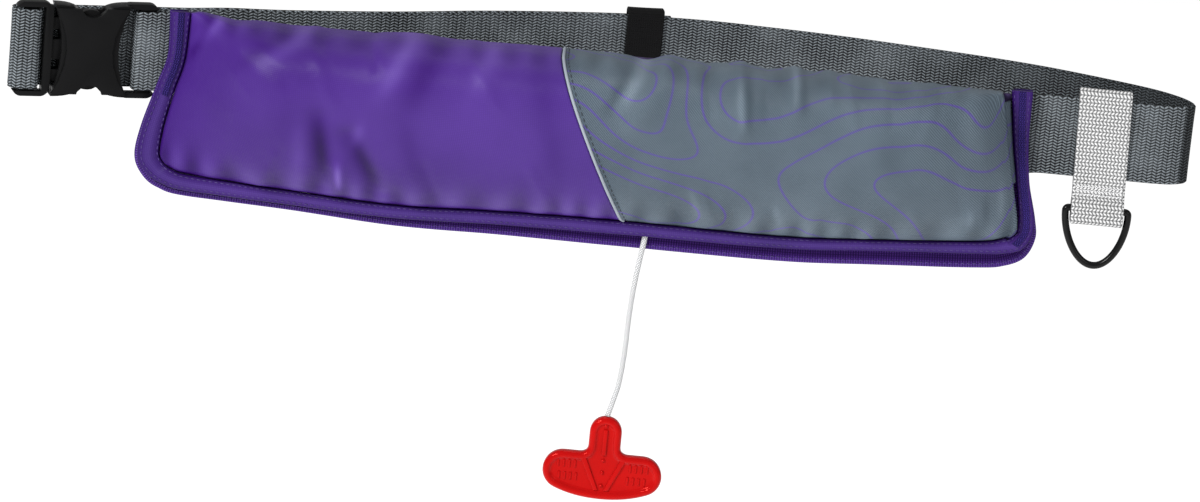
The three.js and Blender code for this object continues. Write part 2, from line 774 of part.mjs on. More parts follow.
function buckleBody() {
  const neck = 0.82 * halfHeight;
  const shape = new THREE.Shape();
  shape.moveTo(-bodyTo, -bodyHalf);
  shape.quadraticCurveTo(bodyMiddle - 8, -bodyHalf, bodyMiddle - 5, -neck);
  shape.lineTo(bodyMiddle + 5, -neck);
  shape.quadraticCurveTo(bodyMiddle + 8, -bodyHalf, -bodyFrom, -bodyHalf);
  shape.quadraticCurveTo(-bodyFrom - 2 * bodyDent, 0, -bodyFrom, bodyHalf);
  shape.quadraticCurveTo(bodyMiddle + 8, bodyHalf, bodyMiddle + 5, neck);
  shape.lineTo(bodyMiddle - 5, neck);
  shape.quadraticCurveTo(bodyMiddle - 8, bodyHalf, -bodyTo, bodyHalf);
  shape.quadraticCurveTo(-bodyTo + 1.6 * bodyDent, 0, -bodyTo, -bodyHalf);
  return toSolid(plate(shape, bodyThick / 2, bodyThick));
}

// The raised hourglass face
function buckleFace() {
  const [right, left] = [-bodyFrom - 1, -bodyTo];
  const waist = 1.45 * bodyDent;
  const shape = new THREE.Shape();
  const top = halfHeight - 2;
  shape.moveTo(left, -top);
  shape.lineTo(right, -top);
  shape.quadraticCurveTo(right - 2 * waist, 0, right, top);
  shape.lineTo(left, top);
  shape.quadraticCurveTo(left + 1.7 * waist, 0, left, -top);
  return toSolid(plate(shape, -bodyThick / 2 + 0.5, faceRaise + 0.5));
}

function windowCut(side) {
  const hole = new THREE.Shape();
  hole.absellipse(bodyMiddle, side * halfHeight, windowHalf, windowRise, 0, 2 * Math.PI, false, 0);
  return toSolid(plate(hole, 0, bodyThick + faceRaise));
}

// The hollow for the plug's arms, and the openings that its prongs stand in
const cavityHalf = tongueThick / 2 + gap;
const cavityEnd = bodyFrom + 0.2 * bodyLength;
const prongReach = halfHeight - railWidth - 1;
const mouthCut = toSolid(box(-bodyTo - 1, -cavityEnd, -cavityHalf, cavityHalf,
  -armOuter - 3 * gap, armOuter + 3 * gap));
const prongCut = toSolid(box(bodyMiddle - prongHalf - 2 * gap, bodyMiddle + prongHalf + 2 * gap,
  -cavityHalf, cavityHalf, -halfHeight - 1, halfHeight + 1));

const socket = buckleBody().add(buckleFace()).add(railFrame(0, bodyFrom + 4))
  .add(flatBar(socketBarStart, socketBarEnd))
  .subtract(mouthCut).subtract(prongCut)
  .subtract(windowCut(1)).subtract(windowCut(-1));

// A springing arm of the plug with its prong
function arm(side) {
  const [tip, foot] = [bodyMiddle + prongHalf, bodyMiddle - prongHalf];
  const shape = new THREE.Shape();
  shape.moveTo(-plugEnd, side * armInner);
  shape.lineTo(tip, side * (armInner + 1.5));
  shape.quadraticCurveTo(tip, side * prongReach, bodyMiddle, side * prongReach);
  shape.quadraticCurveTo(foot, side * prongReach, foot, side * armOuter);
  shape.lineTo(-plugEnd, side * armOuter);
  return toSolid(plate(shape, tongueThick / 2, tongueThick));
}

const tongue = toSolid(box(
  -plugEnd, -cavityEnd - 1, -tongueThick / 2, tongueThick / 2, -armInner / 2, armInner / 2));
const plugBase = toSolid(box(-bodyTo - plugBaseDepth, -bodyTo - gap,
  -railThick / 2, railThick / 2, -slotHalf - 0.5, slotHalf + 0.5));
const plug = railFrame(bodyTo + gap, buckleLength).add(plugBase)
  .add(flatBar(plugBarStart, plugBarStart + plugBarLength))
  .add(tongue).add(arm(1)).add(arm(-1));

const buckle = new THREE.Group();
const buckleSeat = curl(new THREE.Vector3(buckleEndX, barY, 0));
buckle.position.copy(buckleSeat);
buckle.rotation.z = degToRad(curlAngle);
buckle.add(
  piece('buckle_socket', toGeometry(socket), black, 0.6),
  piece('buckle_plug', toGeometry(plug), black, 0.6),
);

// Keeper: an elastic sleeve round the rear run and the tail

function keeperRing() {
  const halfIn = (2 * beltThick + gap) / 2 + keeperEase;
  const tallIn = beltWidth / 2 + keeperSlack;
  const shape = roundedBox(-halfIn - keeperThick, halfIn + keeperThick,
    -tallIn - keeperThick, tallIn + keeperThick, 1.2);
  shape.holes.push(roundedBox(-halfIn, halfIn, -tallIn, tallIn, 0.4));
  return bar(shape, -keeperWidth / 2, keeperWidth);
}

const keeperIndex = rearPoints.findIndex((p) => p.x < keeperX);
const keeperFrom = rearPoints[keeperIndex];
const keeperAlong = rearPoints[keeperIndex - 1].clone().sub(rearPoints[keeperIndex + 1]);
const keeperTurn = Math.atan2(keeperAlong.y, keeperAlong.x);
const keeper = piece('strap_keeper', keeperRing(), black, 0.9);
keeper.position.set(
  keeperFrom.x - Math.sin(keeperTurn) * layerPitch / 2,
  keeperFrom.y + Math.cos(keeperTurn) * layerPitch / 2, 0);
keeper.rotation.z = keeperTurn;

// White tab: it goes over the belt, is stitched below it, and holds the ring's bar.
// Its section is drawn round the belt's middle, front to the left.

const tabTop = beltWidth / 2 + tabRise + tabThick;
const tabFoot = tabTop - tabLength;
const stitchTop = -beltWidth / 2 - stitchDrop;
const ringBarZ = tabFoot + tabThick + ringSlack;
const barHole = ringStock / 2 + gap;

function tabSection() {
  const belt = beltThick / 2 + gap + tabThick;
  const sewn = tabThick + 0.05;
  const low = barHole + tabThick;
  const stitchEnd = stitchTop - stitchHeight;
  const side = [
    [belt, tabTop - belt], [belt, stitchTop + 4], [sewn, stitchTop], [sewn, stitchEnd],
    [low, ringBarZ + barHole], [low, tabFoot + low],
  ];
  const shape = new THREE.Shape();
  shape.moveTo(-belt, tabTop - belt);
  for (const [y, z] of side.slice(1)) shape.lineTo(-y, z);
  shape.absarc(0, tabFoot + low, low, Math.PI, 2 * Math.PI);
  for (const [y, z] of side.toReversed().slice(1)) shape.lineTo(y, z);
  shape.absarc(0, tabTop - belt, belt, 0, Math.PI);
  const beltHole = belt - tabThick;
  const upper = new THREE.Path();
  upper.moveTo(-beltHole, -beltWidth / 2 - gap);
  upper.lineTo(beltHole, -beltWidth / 2 - gap);
  upper.lineTo(beltHole, tabTop - belt);
  upper.absarc(0, tabTop - belt, beltHole, 0, Math.PI);
  const lower = new THREE.Path();
  lower.moveTo(-barHole, tabFoot + low);
  lower.absarc(0, tabFoot + low, barHole, Math.PI, 2 * Math.PI);
  lower.lineTo(barHole, ringBarZ);
  lower.absarc(0, ringBarZ, barHole, 0, Math.PI);
  shape.holes.push(upper, lower);
  return shape;
}

// The tab and its ring hang a little slanted towards the right
function leaned(geometry, level) {
  const shear = new THREE.Matrix4().makeShear(0, 0, 0, 0, -tabLean, 0);
  return geometry.applyMatrix4(shear).translate(tabLean * level, 0, 0);
}

const tab = piece('ring_tab', leaned(bar(tabSection(), -tabWidth / 2, tabWidth), tabTop),
  0xc6c8c7, 0.85);

// Ring: a D of round stock whose flat side lies in the tab

function ringLine() {
  const half = tabWidth / 2 + ringStock / 2 + 2 * gap;
  const corner = ringStock / 2;
  const path = new THREE.CurvePath();
  const at = (x, z) => new THREE.Vector3(x, 0, z);
  path.add(new THREE.LineCurve3(at(-half + corner, 0), at(half - corner, 0)));
  path.add(new THREE.QuadraticBezierCurve3(
    at(half - corner, 0), at(half, 0), at(half, -corner)));
  path.add(new THREE.CubicBezierCurve3(
    at(half, -corner), at(half, -0.5 * ringDrop), at(0.55 * half, -ringDrop), at(0, -ringDrop)));
  path.add(new THREE.CubicBezierCurve3(at(0, -ringDrop),
    at(-0.55 * half, -ringDrop), at(-half, -0.5 * ringDrop), at(-half, -corner)));
  path.add(new THREE.QuadraticBezierCurve3(
    at(-half, -corner), at(-half, 0), at(-half + corner, 0)));
  const pieces = [2, 3, 11, 11, 3];
  return path.curves.flatMap((curve, i) => curve.getPoints(pieces[i]).slice(0, -1));
}

function ring() {
  const line = ringLine();
  const sides = 8;
  const rings = line.map((point, i) => {
    const before = line[(i + line.length - 1) % line.length];
    const after = line[(i + 1) % line.length];
    const along = after.clone().sub(before).normalize();
    const out = new THREE.Vector3(along.z, 0, -along.x);
    return Array.from({ length: sides }, (_, j) => {
      const angle = (j + 0.5) * 2 * Math.PI / sides;
      return point.clone()
        .addScaledVector(out, Math.cos(angle) * ringStock / 2)
        .add(new THREE.Vector3(0, Math.sin(angle) * ringStock / 2, 0));
    });
  });
  return loft(rings, true);
}

const dRing = piece('d_ring', leaned(ring(), tabTop - ringBarZ), 0x0d0d0d, 0.3, 0.2);
dRing.position.set(0, 0, ringBarZ);
const ringGroup = new THREE.Group();
ringGroup.position.set(pouchRightX + tabStandoff, frontRunY, 0);
ringGroup.add(tab, dRing);

// Pull cord: it leaves between the hem and the back binding and hangs down to the handle

const cordY = panelFrontY - mouthDepth / 2;
const cordTopZ = pouchTop - cordTop * pouchHeight;
const cordCurve = new THREE.CatmullRomCurve3(
  cordRoute.map((row) => new THREE.Vector3(
    cordX - row.aside * cordSway, cordY, cordTopZ - row.down * cordDrop)), false, 'centripetal');
const cordSection = new THREE.Shape(Array.from({ length: 8 }, (_, i) => new THREE.Vector2(
  Math.cos(i * Math.PI / 4) * cordDiameter / 2, Math.sin(i * Math.PI / 4) * cordDiameter / 2)));
const pullCord = new THREE.ExtrudeGeometry(cordSection, {
  steps: 32, bevelEnabled: false, extrudePath: cordCurve,
});

// Pull handle: a stem with a round top between two lobes, drawn with its top at the origin

function handleShape() {
  const stem = stemWidth / 2;
  const lobeX = handleSpan / 2 - lobeRadius;
  const lobeZ = -handleHeight + lobeRadius + lobeLift;
  const shoulder = lobeZ + lobeRadius;
  const shape = new THREE.Shape();
  shape.moveTo(stem, -stem);
  shape.absarc(0, -stem, stem, 0, Math.PI);
  shape.lineTo(-stem, shoulder + shoulderRound);
  shape.quadraticCurveTo(-stem, shoulder, -stem - shoulderRound, shoulder);
  shape.lineTo(-lobeX, shoulder);
  shape.absarc(-lobeX, lobeZ, lobeRadius, Math.PI / 2, 1.38 * Math.PI);
  shape.quadraticCurveTo(-0.22 * handleSpan, -handleHeight, 0, -handleHeight);
  shape.quadraticCurveTo(0.22 * handleSpan, -handleHeight,
    lobeX + lobeRadius * Math.cos(1.62 * Math.PI), lobeZ + lobeRadius * Math.sin(1.62 * Math.PI));
  shape.absarc(lobeX, lobeZ, lobeRadius, -0.38 * Math.PI, Math.PI / 2);
  shape.lineTo(stem + shoulderRound, shoulder);
  shape.quadraticCurveTo(stem, shoulder, stem, shoulder + shoulderRound);
  return shape;
}

const flatThick = handleThick - 2 * handleRounding;
const handleGeometry = plate(handleShape(), flatThick / 2, flatThick, {
  bevelEnabled: true, bevelThickness: handleRounding, bevelSize: handleRounding,
  bevelOffset: -handleRounding, bevelSegments: 2, curveSegments: 6,
});
const handle = piece('pull_handle', handleGeometry, 0xca0303, 0.25);
handle.position.set(cordX - cordSway, cordY, cordTopZ - cordDrop - gap);

const group = new THREE.Group();
group.add(
  piece('belt_webbing', curled(beltWebbing), webbingGrey, 0.9),
  buckle,
  keeper,
  piece('back_panel', curled(backPanel), 0x2c2440, 0.9),
  piece('back_binding', curled(backBinding), 0x4a3276, 0.9),
  piece('front_band', curled(frontBand), 0x5f4199, 0.7),
  piece('cover_left', curled(coverLeft), purple, 0.6),
  piece('cover_right', curled(coverRight), grey, 0.6),
  piece('closure_flap', curled(closureFlap), grey, 0.7),
  piece('closure_strip_left', curled(closureStripLeft), 0x130d3b, 0.9),
  piece('closure_strip_right', curled(closureStripRight), 0x130d3b, 0.9),
  piece('folded_bladder', curled(foldedBladder), 0xb9a13a, 0.8),
  ringGroup,
  piece('pull_cord', pullCord, 0xf4f4f4, 0.9),
  handle,
);

export default group;
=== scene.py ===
import math

import bmesh
import bpy
import numpy as np
from mathutils import Matrix, Vector


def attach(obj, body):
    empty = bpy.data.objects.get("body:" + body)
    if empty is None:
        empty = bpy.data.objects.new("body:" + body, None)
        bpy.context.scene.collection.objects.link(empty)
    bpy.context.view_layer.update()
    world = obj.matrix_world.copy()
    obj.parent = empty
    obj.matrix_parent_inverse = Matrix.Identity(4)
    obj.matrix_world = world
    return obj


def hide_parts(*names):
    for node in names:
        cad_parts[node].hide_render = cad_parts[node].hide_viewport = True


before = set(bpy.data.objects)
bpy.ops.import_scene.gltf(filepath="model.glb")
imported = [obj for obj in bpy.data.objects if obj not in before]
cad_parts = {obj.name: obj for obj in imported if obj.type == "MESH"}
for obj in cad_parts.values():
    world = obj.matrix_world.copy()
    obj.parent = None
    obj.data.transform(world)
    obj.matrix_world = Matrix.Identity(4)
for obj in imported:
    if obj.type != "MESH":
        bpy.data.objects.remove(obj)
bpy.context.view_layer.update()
scene = bpy.context.scene


# Camera
# It stands where the photograph was taken from: two and a half metres in front of the
# pouch, 15 degrees above it, and rolled by 5.5 degrees.

camera_tilt, camera_roll = math.radians(15), math.radians(5.5)
camera_place, camera_lens = (0.00735, -2.4796, 0.575), 159.75
up_image = Vector((0, math.sin(camera_tilt), math.cos(camera_tilt)))
right_axis = math.cos(camera_roll) * Vector((1, 0, 0)) + math.sin(camera_roll) * up_image
up_axis = math.cos(camera_roll) * up_image - math.sin(camera_roll) * Vector((1, 0, 0))
back_axis = Vector((0, -math.cos(camera_tilt), math.sin(camera_tilt)))
camera_data = bpy.data.cameras.new("camera")
camera_data.lens = camera_lens
camera_data.sensor_width = 36
camera_data.clip_end = 20
camera = bpy.data.objects.new("camera", camera_data)
scene.collection.objects.link(camera)
turned = Matrix((right_axis, up_axis, back_axis)).transposed().to_4x4()
camera.matrix_world = Matrix.Translation(camera_place) @ turned
scene.camera = camera


# Pull handle
# A glossy red moulded grip: a stem with a round top between two lobes, with a raised rim
# all round it, a V in relief and small pin marks. The cord is knotted inside the stem.

MM = 0.001
cord_y = -51.7
handle_top = (18.4, cord_y, -156.3)
handle_span, handle_height, handle_thick = 57.0, 41.2, 6.0
stem_half, lobe_radius, lobe_lift, shoulder_round = 7.7, 9.7, 3.4, 4.0
side_round, rim_width, rim_height = 1.2, 1.7, 1.3


def colour(red, green, blue):
    """A colour given in screen values from 0 to 255."""
    parts = [(c / 255 + 0.055) / 1.055 for c in (red, green, blue)]
    return (*[p ** 2.4 if p > 0.09 else p / 12.0 for p in parts], 1.0)


def add(tree, kind, inputs=(), **settings):
    """A shader node with its settings, and its inputs given as values or as sockets."""
    made = tree.nodes.new("ShaderNode" + kind)
    for key, value in settings.items():
        setattr(made, key, value)
    for key, value in dict(inputs).items():
        if isinstance(value, bpy.types.NodeSocket):
            tree.links.new(value, made.inputs[key])
        else:
            made.inputs[key].default_value = value
    return made


def calc(tree, operation, *values):
    return add(tree, "Math", enumerate(values), operation=operation).outputs[0]


def finish_named(name, roughness, **sockets):
    """A material, its node tree and its shader, with even values on the shader itself."""
    made = bpy.data.materials.new(name)
    made.use_nodes = True
    shader = made.node_tree.nodes["Principled BSDF"]
    shader.inputs["Roughness"].default_value = roughness
    for key, value in sockets.items():
        shader.inputs[key.replace("_", " ")].default_value = value
    return made, made.node_tree, shader


def blend(tree, dark, light, share):
    """A colour between two colours by a share."""
    return add(tree, "Mix", {0: share, 6: dark, 7: light}, data_type="RGBA").outputs[2]


def tint(tree, shader, dark, light, share):
    tree.links.new(blend(tree, dark, light, share), shader.inputs["Base Color"])


def shaded(tree, shader, strength):
    """The base colour made darker in creases and lighter on ridges by the mesh's own shade."""
    plain = shader.inputs["Base Color"].links[0].from_socket
    worth = add(tree, "Attribute", attribute_name="shade").outputs["Fac"]
    value = calc(tree, "MULTIPLY_ADD", worth, strength, 1.0)
    made = add(tree, "HueSaturation", {"Color": plain, "Value": value,
                                       "Saturation": calc(tree, "MULTIPLY_ADD", worth, -0.12, 1.0)})
    tree.links.new(made.outputs[0], shader.inputs["Base Color"])


def relief(tree, shader, height, distance):
    bump = add(tree, "Bump", {"Height": height, "Distance": distance, "Strength": 1.0})
    tree.links.new(bump.outputs[0], shader.inputs["Normal"])


def speckle(tree, scale, detail=2.0):
    """Even noise in the object's own space."""
    place = add(tree, "TexCoord").outputs["Object"]
    made = add(tree, "TexNoise", {"Vector": place, "Scale": scale, "Detail": detail})
    return made.outputs[0]


def moulded(name, dark, light, roughness, grain, depth, **sockets):
    """Moulded plastic: a faint mottle and a fine grain."""
    made, tree, shader = finish_named(name, roughness, **sockets)
    tint(tree, shader, colour(*dark), colour(*light), speckle(tree, 60))
    relief(tree, shader, speckle(tree, grain, 3.0), depth)
    return made


def placed(name, bm, finish):
    """The mesh as an object in the scene."""
    mesh = bpy.data.meshes.new(name)
    bm.to_mesh(mesh)
    bm.free()
    mesh.materials.append(finish)
    made = bpy.data.objects.new(name, mesh)
    scene.collection.objects.link(made)
    return made


def as_piece(name, bm, finish, node=None, body="pack"):
    """The mesh as a finished piece that rides on a body and may stand for a CAD node."""
    made = placed(name, bm, finish)
    made.data.polygons.foreach_set("use_smooth", [True] * len(made.data.polygons))
    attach(made, body)
    if node:
        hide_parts(node)
    return made


def soften_edges(thing, width, segments, angle, harden):
    """Rounded edges where the faces meet at more than an angle."""
    soften = thing.modifiers.new("edges", "BEVEL")
    soften.width = width * MM
    soften.segments = segments
    soften.limit_method = "ANGLE"
    soften.angle_limit = math.radians(angle)
    soften.harden_normals = harden


def arc(centre_x, centre_y, radius, start, stop, steps):
    angles = np.radians(np.linspace(start, stop, steps + 1))
    return np.stack([centre_x + radius * np.cos(angles), centre_y + radius * np.sin(angles)], 1)


def bend(start, control, stop, steps):
    t = np.linspace(0, 1, steps + 1)[:, None]
    return (1 - t) ** 2 * np.array(start) + 2 * t * (1 - t) * np.array(control) + t ** 2 * np.array(stop)


def handle_outline():
    """The handle from the front, anticlockwise from the right of the stem."""
    lobe_x = handle_span / 2 - lobe_radius
    lobe_z = -handle_height + lobe_radius + lobe_lift
    shoulder = lobe_z + lobe_radius
    foot_x = lobe_x + lobe_radius * math.cos(math.radians(291.6))
    foot_z = lobe_z + lobe_radius * math.sin(math.radians(291.6))
    right_foot = bend((0, -handle_height), (0.22 * handle_span, -handle_height), (foot_x, foot_z), 8)
    right = np.concatenate([
        right_foot[:-1], arc(lobe_x, lobe_z, lobe_radius, -68.4, 90, 18),
        bend((stem_half + shoulder_round, shoulder), (stem_half, shoulder),
             (stem_half, shoulder + shoulder_round), 6),
        arc(0, -stem_half, stem_half, 0, 90, 9)])
    left = right[1:-1][::-1] * (-1, 1)
    return np.concatenate([right, left])


def from_front(bm, points, y):
    """A face drawn from the front, given as x and z."""
    corners = [bm.verts.new((x * MM, y * MM, z * MM)) for x, z in points]
    return bm.faces.new(corners)


def raise_faces(bm, faces, inset, rise):
    """Insets the faces together and moves them to the front."""
    if inset:
        bmesh.ops.inset_region(bm, faces=faces, thickness=inset * MM, use_even_offset=True,
                               use_boundary=True)
    for vert in {v for f in faces for v in f.verts}:
        vert.co.y -= rise * MM


def extruded(bm, face, rise):
    """The far faces of a face drawn out to the front."""
    drawn = bmesh.ops.extrude_face_region(bm, geom=[face])
    far = [g for g in drawn["geom"] if isinstance(g, bmesh.types.BMFace)]
    raise_faces(bm, far, 0, rise)
    return far


red_plastic = moulded("red_plastic", (160, 0, 0), (184, 0, 0), 0.1, 900, 0.00001,
                      Specular_IOR_Level=0.4, Specular_Tint=(1.0, 0.1, 0.08, 1.0))

handle_bm = bmesh.new()
front = from_front(handle_bm, handle_outline(), -handle_thick / 2 + side_round)
handle_back = extruded(handle_bm, front, 2 * side_round - handle_thick)
raise_faces(handle_bm, handle_back, side_round, -side_round)
raise_faces(handle_bm, [front], side_round, side_round)
raise_faces(handle_bm, [front], rim_width, 0.0)
raise_faces(handle_bm, [front], 1.2, -rim_height)
for vert in handle_bm.verts:
    vert.co += Vector(handle_top) * MM
bmesh.ops.recalc_face_normals(handle_bm, faces=handle_bm.faces)


def handle_relief(bm, points, y, rise, edge=0.35):
    """A low raised form on the handle's recessed front."""
    face = from_front(bm, [(x + handle_top[0], z + handle_top[2]) for x, z in points], y)
    if face.normal.y > 0 or face.calc_center_median().y > 0:
        bmesh.ops.reverse_faces(bm, faces=[face])
    raise_faces(bm, extruded(bm, face, rise), edge, 0.25)


relief_y = handle_top[1] - handle_thick / 2 + rim_height + 0.05
relief_bm = bmesh.new()
for side in (-1, 1):
    arm = [(side * 1.2, -36.5), (side * 3.4, -36.5), (side * 11.5, -19.6), (side * 8.6, -19.6)]
    handle_relief(relief_bm, arm[::side], relief_y, 0.9)
    for row in range(2):
        for column in range(4):
            x = side * (13.2 + 2.7 * column - 0.9 * row)
            z = -24.4 - 6.2 * row
            rib = [(x - 0.55, z - 1.9), (x + 0.55, z - 1.9), (x + 0.55, z + 1.9), (x - 0.55, z + 1.9)]
            handle_relief(relief_bm, rib, relief_y, 0.35, 0.2)
handle_relief(relief_bm, [(-1.0, -19), (1.0, -19), (1.0, -6), (-1.0, -6)], relief_y, 0.9)
for z in (-4.2, -21.5, -27.5, -34.0):
    bmesh.ops.create_uvsphere(
        relief_bm, u_segments=12, v_segments=6, radius=0.9 * MM,
        matrix=Matrix.Translation(Vector((handle_top[0], relief_y - 0.3, handle_top[2] + z)) * MM))
bmesh.ops.recalc_face_normals(relief_bm, faces=relief_bm.faces)
handle = as_piece("handle_body", handle_bm, red_plastic, "pull_handle")
handle_marks = as_piece("handle_relief", relief_bm, red_plastic)
soften_edges(handle, 0.75, 4, 25, False)
soften_edges(handle_marks, 0.3, 4, 25, False)


# Pull cord
# A thin white braided cord. It leaves between the hem and the back binding and hangs to the
# handle. Its whole length shows in the photograph.

cord_route = [(28.4, -55.5), (28.2, -62.0), (27.4, -70.0), (26.2, -79.5), (25.0, -90.0), (24.2, -101.0),
              (23.8, -112.0), (23.6, -122.0), (23.0, -132.0), (22.0, -141.0), (20.2, -149.0), (18.4, -156.0)]
cord_diameter = 2.6


def spline(points, t):
    """A smooth line through the points, for t from 0 to 1."""
    points = np.asarray(points, float)
    place = np.clip(np.asarray(t, float), 0, 1) * (len(points) - 1)
    i = np.minimum(place.astype(int), len(points) - 2)
    w = (place - i)[..., None]
    before, after = points[np.maximum(i - 1, 0)], points[np.minimum(i + 2, len(points) - 1)]
    a, b = points[i], points[i + 1]
    v0, v1 = (b - before) / 2, (after - a) / 2
    return (2 * a - 2 * b + v0 + v1) * w ** 3 + (3 * b - 3 * a - 2 * v0 - v1) * w ** 2 + v0 * w + a


def unit(vectors):
    return vectors / np.linalg.norm(vectors, axis=-1)[..., None]


def lengths_along(points):
    return np.concatenate([[0], np.cumsum(np.linalg.norm(np.diff(points, axis=0), axis=1))])


def strip_map(lengths, across):
    """A pattern map for rows: the length up to each row and the place across it."""
    return np.stack(np.broadcast_arrays(lengths[:, None], across), 2)


def evenly(points, step):
    """The line through the points again, in even steps, and the length up to each."""
    points = np.asarray(points, float)
    lengths = lengths_along(points)
    at = np.linspace(0, lengths[-1], max(2, round(lengths[-1] / step) + 1))
    return np.stack([np.interp(at, lengths, points[:, k]) for k in range(points.shape[1])], 1), at


def shares(columns, rows):
    """Even shares from 0 to 1 over columns and over rows."""
    return np.meshgrid(np.linspace(0, 1, columns), np.linspace(0, 1, rows))


def surface(points, uv, weld=False, cap=False, shade=None):
    """A sheet through rows of points in millimetres, with its own pattern map in metres."""
    rows, columns = points.shape[:2]
    bm = bmesh.new()
    shades = bm.verts.layers.float.new("shade") if shade is not None else None
    pattern = bm.loops.layers.uv.new("UVMap")
    bmesh.ops.create_grid(bm, x_segments=columns - 1, y_segments=rows - 1, size=0.5)
    spots = {}
    for vert in bm.verts:
        spot = (round((vert.co.y + 0.5) * (rows - 1)), round((vert.co.x + 0.5) * (columns - 1)))
        spots[vert] = spot
        vert.co = points[spot] * MM
        if shades:
            vert[shades] = shade[spot]
    for face in bm.faces:
        for loop in face.loops:
            loop[pattern].uv = uv[spots[loop.vert]] * MM
    if weld:
        bmesh.ops.remove_doubles(bm, verts=bm.verts, dist=1e-7)
    if cap:
        bmesh.ops.holes_fill(bm, edges=[e for e in bm.edges if e.is_boundary], sides=0)
    bmesh.ops.recalc_face_normals(bm, faces=bm.faces)
    return bm


def round_tube(line, side, other, radius, sides, cap=True):
    """A tube round a line, with two directions across it at each of its points."""
    angles = np.linspace(0, 2 * math.pi, sides + 1)
    points = line[:, None] + radius * (np.cos(angles)[None, :, None] * side[:, None]
                                       + np.sin(angles)[None, :, None] * other[:, None])
    return surface(points, strip_map(lengths_along(line), angles * radius), weld=True, cap=cap)


def tube(line, radius, sides, closed=False):
    """A round tube along a line that lies in one plane facing -Y."""
    if closed:
        line = np.concatenate([line, line[:1]])
        along = np.gradient(np.concatenate([line[-2:-1], line, line[1:2]]), axis=0)[1:-1]
    else:
        along = np.gradient(line, axis=0)
    along = unit(along)
    out = np.stack([along[:, 2], 0 * along[:, 0], -along[:, 0]], 1)
    front_axis = np.broadcast_to([0.0, -1.0, 0.0], out.shape)
    return round_tube(line, out, front_axis, radius, sides, cap=not closed)


def pattern_place(tree):
    """The two directions of a piece's own pattern map, in metres."""
    split = add(tree, "SeparateXYZ", {0: add(tree, "UVMap", uv_map="UVMap").outputs[0]})
    return split.outputs[0], split.outputs[1]


def wave(tree, value, pitch):
    """From 0 to 1 and back once a pitch, in a smooth wave."""
    turn = calc(tree, "MULTIPLY", value, 2 * math.pi / pitch)
    return calc(tree, "MULTIPLY_ADD", calc(tree, "COSINE", turn), 0.5, 0.5)


cord_fibre, tree, shader = finish_named("cord_fibre", 0.8, Sheen_Weight=0.2)
along, around = pattern_place(tree)
one_way = wave(tree, calc(tree, "ADD", along, around), 0.0014)
other_way = wave(tree, calc(tree, "SUBTRACT", along, around), 0.0014)
braid = calc(tree, "MULTIPLY", one_way, other_way)
tint(tree, shader, colour(140, 142, 144), colour(250, 250, 250), calc(tree, "POWER", braid, 0.4))
relief(tree, shader, braid, 0.0003)

cord_smooth = spline([(x, cord_y, z) for x, z in cord_route], np.linspace(0, 1, 240))
cord_line, cord_at = evenly(cord_smooth, 1.2)
cord = as_piece("braided_cord", tube(cord_line, cord_diameter / 2, 14), cord_fibre, "pull_cord")


# Waist belt
# One strap of 38 mm grey webbing. It is sewn round the socket's bar, runs behind the pouch,
# round the right fold and the back, and round the plug's bar, and its tail lies outside.

belt_width, belt_thick, gap = 38.0, 1.6, 0.3
loop_depth, right_reach, fold_start, fold_setback = 91.0, 78.2, 0.9362, 5.0
pouch_length, pouch_height, pouch_top, pouch_shift = 427.6, 95.0, 21.0, -2.8
pouch_half = pouch_length / 2
curl_angle, curl_length, curl_foot = math.radians(18), 41.0, 0.963
sewn_length, tail_reach, keeper_shift, top_sag = 40.0, 11.4, 18.7, 3.8
buckle_length, buckle_standoff, bar_thick = 68.0, 4.1, 3.0
socket_bar_end, plug_bar_start, body_thick = 9.5, 57.2, 9.4
rear_run = [
    (0.9717, 0.02), (0.9954, 0.088), (0.9899, 0.192), (0.9616, 0.313), (0.918, 0.418),
    (0.8411, 0.549), (0.7582, 0.67), (0.6722, 0.758), (0.5851, 0.824), (0.4131, 0.934),
    (0.2765, 0.983), (0.1511, 1.0), (0.0064, 0.925), (-0.195, 0.703), (-0.364, 0.451),
    (-0.534, 0.25), (-0.6311, 0.17)]
# How far the pouch's top edge hangs below its corners: x share and drop share
top_line = np.array([(-0.93, 0.0), (-0.78, 1.0), (-0.4, 0.95), (-0.1, 0.6), (0.5, 0.55),
                     (0.9, 0.7), (1.0, 0.0)])
front_run_y = -loop_depth / 2
layer_pitch = belt_thick + gap
curl_start = pouch_shift - pouch_half * curl_foot + curl_length


def curl(points):
    """The left end of the belt and pouch curls a little towards the front."""
    points = np.array(points, float)
    beyond = np.maximum(curl_start - points[..., 0], 0)
    radius = curl_length / curl_angle
    angle = curl_angle * np.minimum(1, beyond / curl_length)
    straight = np.maximum(0, beyond - curl_length)
    offset = radius + points[..., 1] - front_run_y
    bent = beyond > 0
    x = curl_start - offset * np.sin(angle) - straight * np.cos(angle)
    y = front_run_y - radius + offset * np.cos(angle) - straight * np.sin(angle)
    points[..., 0] = np.where(bent, x, points[..., 0])
    points[..., 1] = np.where(bent, y, points[..., 1])
    return points


def top_drop(x):
    share = (np.asarray(x, float) - pouch_shift) / pouch_half
    i = np.clip(np.searchsorted(top_line[:, 0], share), 1, len(top_line) - 1)
    low, high = top_line[i - 1], top_line[i]
    part = np.clip((share - low[..., 0]) / (high - low)[..., 0], 0, 1)
    part = part * part * (3 - 2 * part)
    return top_sag * (low[..., 1] + (high - low)[..., 1] * part)


def offset_line(points, distance):
    along = unit(np.gradient(points, axis=0))
    return points + distance * np.stack([along[:, 1], -along[:, 0]], 1)


